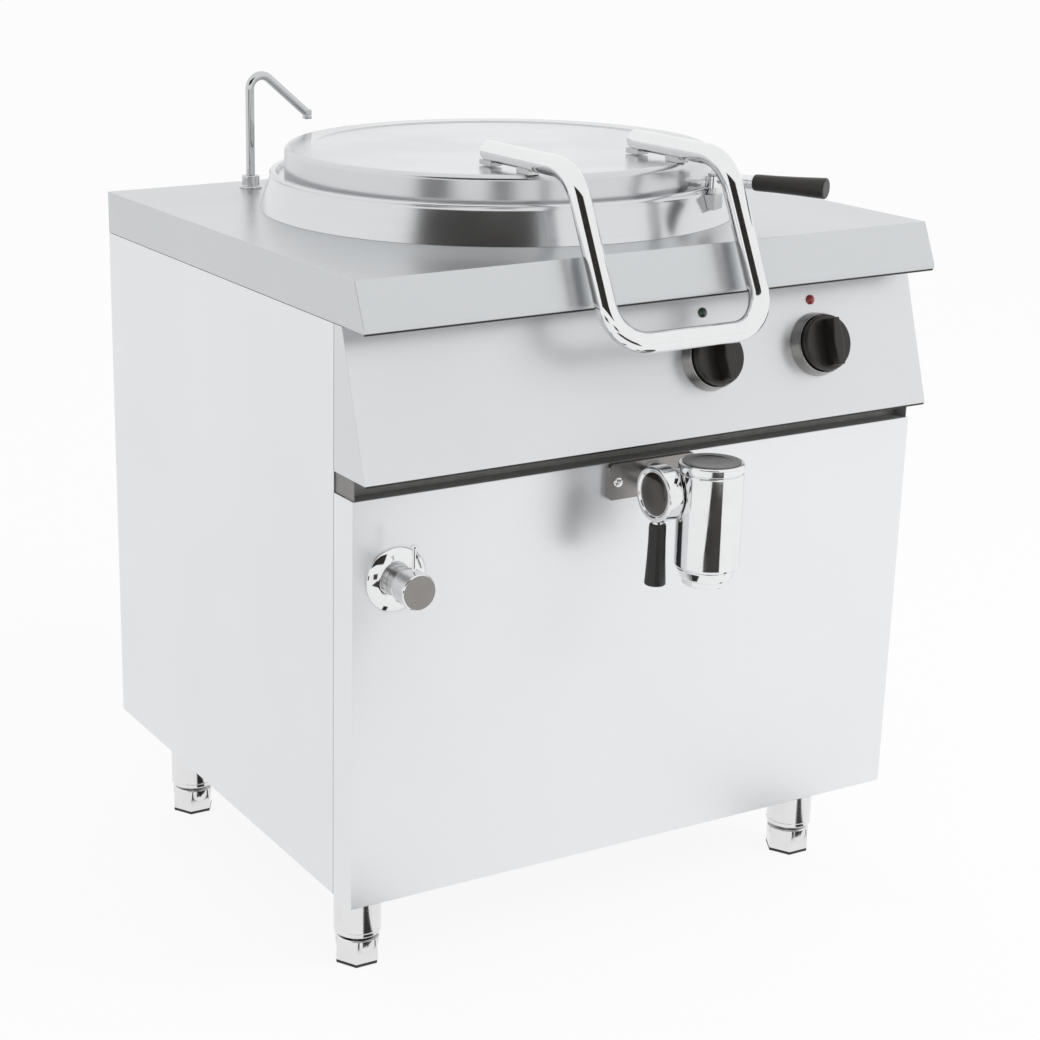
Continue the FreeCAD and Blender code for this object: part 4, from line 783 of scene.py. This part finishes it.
# %% cap, inlay and nozzle
smoked = bright("smoked_plating", (0.11, 0.103, 0.097), 0.10, 0.18)
cap_side = [(36, 0), (36, 1.2), (37.5, 2.2), (37.5, 9.4)] + arc(34.6, 8.8, 2.9, 0, 80, 5)
wear(turned("tap_cap_turned", cap_side + [(34, 11.2), (3, 11.2)], spot(0, OUT, 641), sides=128, width=0.2),
     "cabinet", "drain_tap_cap", chrome)
inlay = [(2, 10.4), (33.6, 10.8), (33.6, 11.7), (33.2, 12), (24, 12), (22.5, 11.3), (2, 11.3)]
wear(turned("tap_cap_inlay", inlay, spot(0, OUT, 641), sides=128, width=0.15),
     "cabinet", [], smoked)
funnel = [(20, -21), (26.2, -21), (27, -20), (28, -14), (29.5, -13), (31, -11), (34.5, -2.5), (35.5, -1),
          (35.5, 0), (20, 0)]
wear(turned("tap_nozzle_turned", funnel, spot(0, OUT, 528), hollow=True, sides=128, width=0.3),
     "cabinet", "drain_tap_nozzle", chrome)

# %% [markdown]
# A nut at the right end keeps the plug in its housing, and a flange with two domed bolts holds the tap to
# the front sheet. The bolts are alike, so one is turned and the other is its copy.

# %% nut, flange and bolts
# Dull plating: the mixer's duller face, and on the drain flange a dark tone that is painted shade, the shade
# behind the tap.
dull_and_shade_plating = bright("dull_plating_and_painted_shade", (0.31, 0.297, 0.284), 0.2, 0.3)
nut = [(26, 0), (26, 4.2), (24.5, 6), (14, 6), (13, 5.2), (2, 5.2)]
wear(turned("cover_nut_turned", nut, spot(38, -90, PLUG), TO_RIGHT, sides=64, width=0.3),
     "cabinet", "plug_retainer", chrome)
# The flange's dark plating is painted shade.
wear(folded("drain_flange", 1.0), "cabinet", "drain_flange", dull_and_shade_plating)
shank_and_head = [(3.4, 0), (3.4, 8), (6.5, 8), (6.5, 8.8), (5.6, 10.6), (3.8, 11.6), (1.2, 12)]
bolt = turned("bolt_dome_left", shank_and_head, spot(-50, 0, TAP), TO_COOK, sides=40, width=0.2)
bolts = joined("bolt_domes", bolt, copied(bolt, "bolt_dome_right", (100, 0, 0)))
wear(bolts, "cabinet", "flange_bolts", chrome)

# %% [markdown]
# ## Drain lever
# The lever's hub is a disc on the plug's left end, with a raised bright rim round a dark hollow face, and a
# short stub below. The grip is screwed on the stub and hangs while the tap is shut. All of it rides on the
# lever's body, so it turns with the plug.

# %% hub of the lever
HUB_FACE = spot(-61.5, -90, PLUG)
STUB_END = spot(-50.5, -90, PLUG - 36)
face = [(2, 4), (26.4, 4), (27.2, 3.2), (28, 2.4), (29, 2), (30.5, 2.2)]
rim = arc(31, 4.2, 2, -70, 0, 4) + [(33, 19.8)] + arc(31, 20, 2, 0, 80, 4)
hub = turned("hub_disc", face + rim + [(2, 22)], HUB_FACE, TO_RIGHT, sides=128, width=0.3)
stub = turned("hub_stub", [(7, 0), (7, 26)], STUB_END, sides=48, width=0.4)
wear(joined("lever_hub", hub, stub), "drain_lever", "drain_lever_hub", chrome)
dish = [(1, 0.3), (6, 0.4), (11, 0.8), (16, 1.4), (21, 2.4), (25, 3.6), (26, 4.6), (1, 4.6)]
wear(turned("hub_inlay", dish, HUB_FACE, TO_RIGHT, sides=128, width=0),
     "drain_lever", [], smoked)


# %% grip of the lever
def moulded_grip(length):
    """Profile of a grip: a waist at the neck, swelling towards a full, rounded end."""
    swell = [(9.6, 1.6), (10, 4), (10.1, length * 0.3), (10.9, length * 0.6), (12, length * 0.86)]
    return ([(3, 0), (8.4, 0)] + arc(8.2, 1.4, 1.4, -60, 0, 4) + swell +
            arc(10.3, length - 2.4, 2.2, 10, 90, 5) + [(4, length - 0.3), (1, length - 0.3)])


DOWN = (math.pi, 0, 0)
wear(turned("drain_grip_moulding", moulded_grip(74), STUB_END, DOWN, sides=64, width=0.3),
     "drain_lever", "drain_grip", black)

# %% [markdown]
# ## Side lever
# The side lever holds the lid shut. Here it stands open: it points outwards from a stud on the collar, at
# 61 degrees from the right side towards the front. Its grip is the drain lever's grip, made longer, and a
# ferrule joins it to the arm. The arm, its bracket and the keeper on the lid keep their CAD shape with
# softer edges.

# %% grip and ferrule of the side lever
swing = math.radians(-61)
OUTWARD = (0, math.radians(90), swing)


def along_clamp(start):
    """A place on the side lever, start millimetres from the pan's axis."""
    return spot(start * math.cos(swing), 354 + start * math.sin(swing), TOP + 58)


wear(turned("clamp_grip_moulding", moulded_grip(90), along_clamp(351), OUTWARD, sides=64, width=0.3),
     "lid_clamp", "clamp_grip", black)
sleeve = [(6.5, 0), (6.5, 1.2), (8.5, 5.4), (8.5, 13), (7.9, 13.6), (7.9, 15), (8.5, 15.6), (8.5, 22)]
wear(turned("clamp_ferrule_turned", sleeve, along_clamp(329), OUTWARD, sides=64, width=0.3),
     "lid_clamp", "clamp_ferrule", chrome)

# %% arm, bracket and keeper
wear(folded("clamp_arm", 0.7), "lid_clamp", "clamp_arm", chrome)
wear(folded("clamp_bracket", 0.6), "cabinet", "clamp_bracket", satin)
wear(folded("lid_keeper", 0.4), "lid", "lid_keeper", satin)

# %% [markdown]
# ## Filling spout
# The swan neck is a thin bent tube that turns in its base nut and ends in a nozzle that points down. The
# tube is bent with the same helper as the handle. The nut is hollow, because the tube stands in it, and
# the nozzle has a groove where its insert is screwed in.

# %% spout
SPOUT = -216
NOZZLE = SPOUT + 83
# The spout is chrome; its darker tone is painted reflection, standing for the dark things that it mirrors.
spout_painted_reflection = bright("spout_plating_painted_reflection", (0.60, 0.605, 0.61), 0.03, 0.08)
spout_route = [spot(SPOUT, 634, TOP + 0.3), spot(SPOUT, 634, TOP + 169), spot(NOZZLE, 634, TOP + 98)]
wear(bent_bar("swan_neck", spout_route, (17,), 6, sides=40, width=0.4),
     "swivel_spout", "spout_pipe", spout_painted_reflection)
insert = [(5, 88), (6, 88), (6.5, 89), (6.5, 92), (6.0, 92.6), (6.0, 93.4), (6.5, 94), (6.5, 99.4),
          (5.2, 101), (3, 101)]
wear(turned("spout_nozzle_turned", insert, spot(NOZZLE + 3.25, 634, TOP), sides=48, width=0.2),
     "swivel_spout", "spout_nozzle", spout_painted_reflection)
foot = [(6.05, 0), (15, 0), (15, 2), (14.2, 3), (12.6, 3.6), (12, 5), (12, 15)]
shoulder = arc(9.5, 15.3, 2.5, 0, 80, 4) + [(6.05, 18)]
wear(turned("spout_base_turned", foot + shoulder, spot(SPOUT, 634, TOP), hollow=True, sides=64, width=0.2),
     "cabinet", "spout_base", spout_painted_reflection)

# %% [markdown]
# ## Mixer
# The mixer on the front opens the water. Its head is a short drum with a duller face and a pin to turn it
# by, in front of a domed cover ring that hides the hole in the sheet. All are turned, and all but the pin
# point to the front.

# %% mixer
MIX = (-344, 530)
MIX_AXIS = spot(MIX[0], 0, MIX[1])
cover = [(18.1, 0), (39, 0), (39, 2), (38.2, 3.4), (36, 5.2), (32.5, 7.4), (28.5, 9.4), (26, 10), (18.1, 10)]
wear(turned("mixer_cover", cover, MIX_AXIS, TO_COOK, hollow=True, sides=128, width=0.25),
     "cabinet", "mixer_escutcheon", chrome)
head = [(20.8, 26), (21.5, 26.7), (21.5, 52.6), (20.4, 53.8), (2, 53.8)]
wear(turned("mixer_drum", head, MIX_AXIS, TO_COOK, sides=128, width=0.3),
     "mixer_lever", "mixer_head", chrome)
plate = [(2, 53.5), (20, 53.5), (20, 53.9), (19.9, 54), (2, 54)]
wear(turned("mixer_face", plate, MIX_AXIS, TO_COOK, sides=128, width=0),
     "mixer_lever", [], dull_and_shade_plating)
pin = [(2.2, 21.3), (2.2, 47.6), (3.4, 48.4), (4, 49), (4, 51), (3.2, 52), (1, 52)]
wear(turned("mixer_pin_turned", pin, spot(MIX[0], -40, MIX[1]), sides=40, width=0.2),
     "mixer_lever", "mixer_pin", chrome)

# %% [markdown]
# ## Legs
# Each leg is a bright tube with a rolled groove near its foot. The tube and the ring under the foot are
# turned at the first corner and copied to the other three. The four tubes are one piece, as they are one
# node in the CAD model.

# %% leg tubes
LEGS = {"front_left": (-337, 100), "front_right": (337, 100), "rear_left": (-337, 595),
        "rear_right": (337, 595)}
FIRST = LEGS["front_left"]
leg_metal = bright("leg_plating", (0.80, 0.80, 0.805), 0.12, 0.2)
outer = [(8.05, 40), (27, 40), (28.6, 40.6), (29.5, 42), (29.5, 46), (29.1, 46.6), (29.5, 47.2), (29.5, 127)]
inner = [(27.5, 127), (27.5, 46), (8.05, 46)]
tube = turned("leg_tube", outer + inner, spot(*FIRST, 0), hollow=True, sides=96, width=0.25)
sole = [(23, 0.1), (28.4, 0.1), (29.2, 1), (29.2, 4.4), (28.6, 5), (23, 5)]
ring = turned("foot_ring_front_left", sole, spot(*FIRST, 0), (0, 0, math.radians(30)), hollow=True, sides=6,
              width=0.3)
tubes, rings = [tube], [ring]
for corner, (x, y) in list(LEGS.items())[1:]:
    step = (x - FIRST[0], y - FIRST[1], 0)
    tubes.append(copied(tube, f"leg_tube_{corner}", step))
    rings.append(copied(ring, f"foot_ring_{corner}", step))
wear(joined("leg_tubes", *tubes), "cabinet", "legs", leg_metal)

# %% [markdown]
# ## Feet
# A screw foot with six flats raises or lowers its corner, and a black ring at its base keeps the metal off
# the floor. The ring has six sides like the foot. Foot and ring ride on the foot's own body, and go down
# together when the foot is screwed out.

# %% feet
for corner, ring in zip(LEGS, rings):
    wear(folded(f"foot_{corner}", 0.7), f"foot_{corner}", f"foot_{corner}", leg_metal)
    wear(ring, f"foot_{corner}", [], black)

# %% [markdown]
# ## Pieces that keep their CAD shape
# The rods, the jacket, the pipes and the fittings inside and behind already have the right shape. They
# only get a finish, which is put in place of the plain one on their own mesh.

# %% finishes on the CAD nodes that stay
brass = mottled("turned_brass", (0.62, 0.44, 0.2), (0.74, 0.56, 0.3), 1, 0.2, 0.34, 60, bump=0.05)
oxide = mottled("heated_rods", (0.06, 0.055, 0.05), (0.16, 0.14, 0.13), 0.7, 0.5, 0.7, 120)
wool = mottled("mineral_wool", (0.50, 0.43, 0.22), (0.74, 0.67, 0.42), 0, 0.9, 1.0, 260, bump=0.9)
STAY = {
    satin: ["lid_liner", "drain_pipe", "filling_pipe", "hinge_pin", "element_plate", "mixer_cartridge"],
    zinc: ["support_rails"], oxide: ["heating_elements"], wool: ["insulation_jacket"],
    brass: ["drain_plug", "water_inlets"], black: ["power_switch", "thermostat", "cable_gland"],
}
for finish, names in STAY.items():
    for name in names:
        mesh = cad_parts[name].data
        mesh.materials.clear()
        mesh.materials.append(finish)
print(sum(len(names) for names in STAY.values()), "nodes keep their shape")

# %% [markdown]
# ## Floor
# The floor is plain and pale, and has to look almost white without more light on the object. So it glows
# for the rays that only show it: those from the camera, from metal and through glass. It glows by nine
# parts in ten, and the last part is its paint, which keeps the object's shadow.


# %% which rays see the background
def background_rays(nodes, links):
    """1 for rays from the camera, from metal and through glass, which see the background, and else 0."""
    rays = nodes.new("ShaderNodeLightPath")
    seen = rays.outputs["Is Camera Ray"]
    for kind in ("Is Glossy Ray", "Is Transmission Ray"):
        either = nodes.new("ShaderNodeMath")
        either.operation = "MAXIMUM"
        links.new(seen, either.inputs[0])
        links.new(rays.outputs[kind], either.inputs[1])
        seen = either.outputs[0]
    return seen


print("three kinds of ray show the background")

# %% floor
bpy.ops.object.select_all(action="DESELECT")
bpy.ops.mesh.primitive_plane_add(size=60, location=(0, 0, 0))
floor = bpy.context.object
floor.name = "floor"
floor_finish, nodes, links, shader = new_finish("floor_paint", (0.86, 0.86, 0.865), 0, 0.7)
glow = nodes.new("ShaderNodeEmission")
glow.inputs["Color"].default_value = (1, 1, 1, 1)
glow.inputs["Strength"].default_value = 1.0
seen = nodes.new("ShaderNodeMath")
seen.operation = "MULTIPLY"
seen.inputs[1].default_value = 0.9
links.new(background_rays(nodes, links), seen.inputs[0])
blend = nodes.new("ShaderNodeMixShader")
links.new(seen.outputs[0], blend.inputs["Fac"])
links.new(shader.outputs["BSDF"], blend.inputs[1])
links.new(glow.outputs["Emission"], blend.inputs[2])
links.new(blend.outputs["Shader"], nodes["Material Output"].inputs["Surface"])
floor.data.materials.append(floor_finish)
print("the floor is", floor.dimensions.x, "m wide")

# %% [markdown]
# ## World
# The world is the soft light of a white room. It lights the object at a strength of 0.82, at which a pale
# sheet renders about as it is written, and shows itself as plain white to the camera and in metal.

# %% world
world = bpy.data.worlds.new("studio")
bpy.context.scene.world = world
world.use_nodes = True
sky_nodes, sky_links = world.node_tree.nodes, world.node_tree.links
sky = sky_nodes["Background"]
sky.inputs["Color"].default_value = (1, 1, 1, 1)
sky.inputs["Strength"].default_value = 0.82
backdrop = sky_nodes.new("ShaderNodeBackground")
backdrop.inputs["Color"].default_value = (1, 1, 1, 1)
backdrop.inputs["Strength"].default_value = 1.0
choose = sky_nodes.new("ShaderNodeMixShader")
sky_links.new(background_rays(sky_nodes, sky_links), choose.inputs["Fac"])
sky_links.new(sky.outputs["Background"], choose.inputs[1])
sky_links.new(backdrop.outputs["Background"], choose.inputs[2])
sky_links.new(choose.outputs["Shader"], sky_nodes["World Output"].inputs["Surface"])
print("world light", sky.inputs["Strength"].default_value)

# %% [markdown]
# ## Lamp
# A big lamp to the right of the camera gives the soft shadows that fall to the left. It is hidden from
# glossy rays, because its square would clip to white in the ground sheets.


# %% lamp
def soft_lamp(name, place, aim, size, power):
    """A square lamp at place that points to aim, and shows in no reflection."""
    data = bpy.data.lights.new(name, "AREA")
    data.shape = "SQUARE"
    data.size = size
    data.energy = power
    lamp = bpy.data.objects.new(name, data)
    bpy.context.scene.collection.objects.link(lamp)
    lamp.location = place
    lamp.rotation_euler = (Vector(aim) - Vector(place)).to_track_quat("-Z", "Y").to_euler()
    lamp.visible_glossy = False
    print(name, "gives", power, "W")


soft_lamp("key_lamp", (2.4, -2.6, 2.6), (0, 0, 0.6), 1.2, 60)

# %% [markdown]
# ## Dark cards
# Bright metal only looks like metal if something darker stands beside the light. Photographers hang black
# cards for that. These stand outside the picture, or lie on the floor beside each leg, where only
# reflections can see them. They stop no light, so the soft shadows stay as they are.

# %% cards
card_finish = new_finish("card_cloth", (0.022, 0.018, 0.015), 0, 0.9)[0]
RIM = (0, 0.08, 0.9)


def card(name, place, aim, wide, high):
    """A dark card that faces aim and shows only in reflections."""
    bpy.ops.object.select_all(action="DESELECT")
    bpy.ops.mesh.primitive_plane_add(size=1, location=(0, 0, 0))
    piece = bpy.context.object
    piece.name = name
    piece.scale = (wide, high, 1)
    bpy.ops.object.transform_apply(location=False, rotation=False, scale=True)
    settle(piece, place, (Vector(aim) - Vector(place)).to_track_quat("Z", "Y").to_euler())
    piece.data.materials.append(card_finish)
    piece.visible_camera = False
    piece.visible_diffuse = False
    piece.visible_shadow = False
    print(name, "is", wide, "by", high, "m")


card("card_high", (-1.9, -2.15, 2.6), RIM, 3.6, 1.8)
card("card_rim_a", (-3.1, -1.5, 0.42), RIM, 1.0, 0.6)
card("card_rim_b", (-1.7, -3.0, 0.42), RIM, 0.7, 0.6)
for corner, (x, y) in LEGS.items():
    place = spot(x + 32, y - 190, 3)
    card(f"card_{corner}", place, place + Vector((0, 0, 1)), 0.075, 0.26)
card("card_floor", (-0.52, -2.1, 0.003), (-0.52, -2.1, 3), 1.5, 1.3)
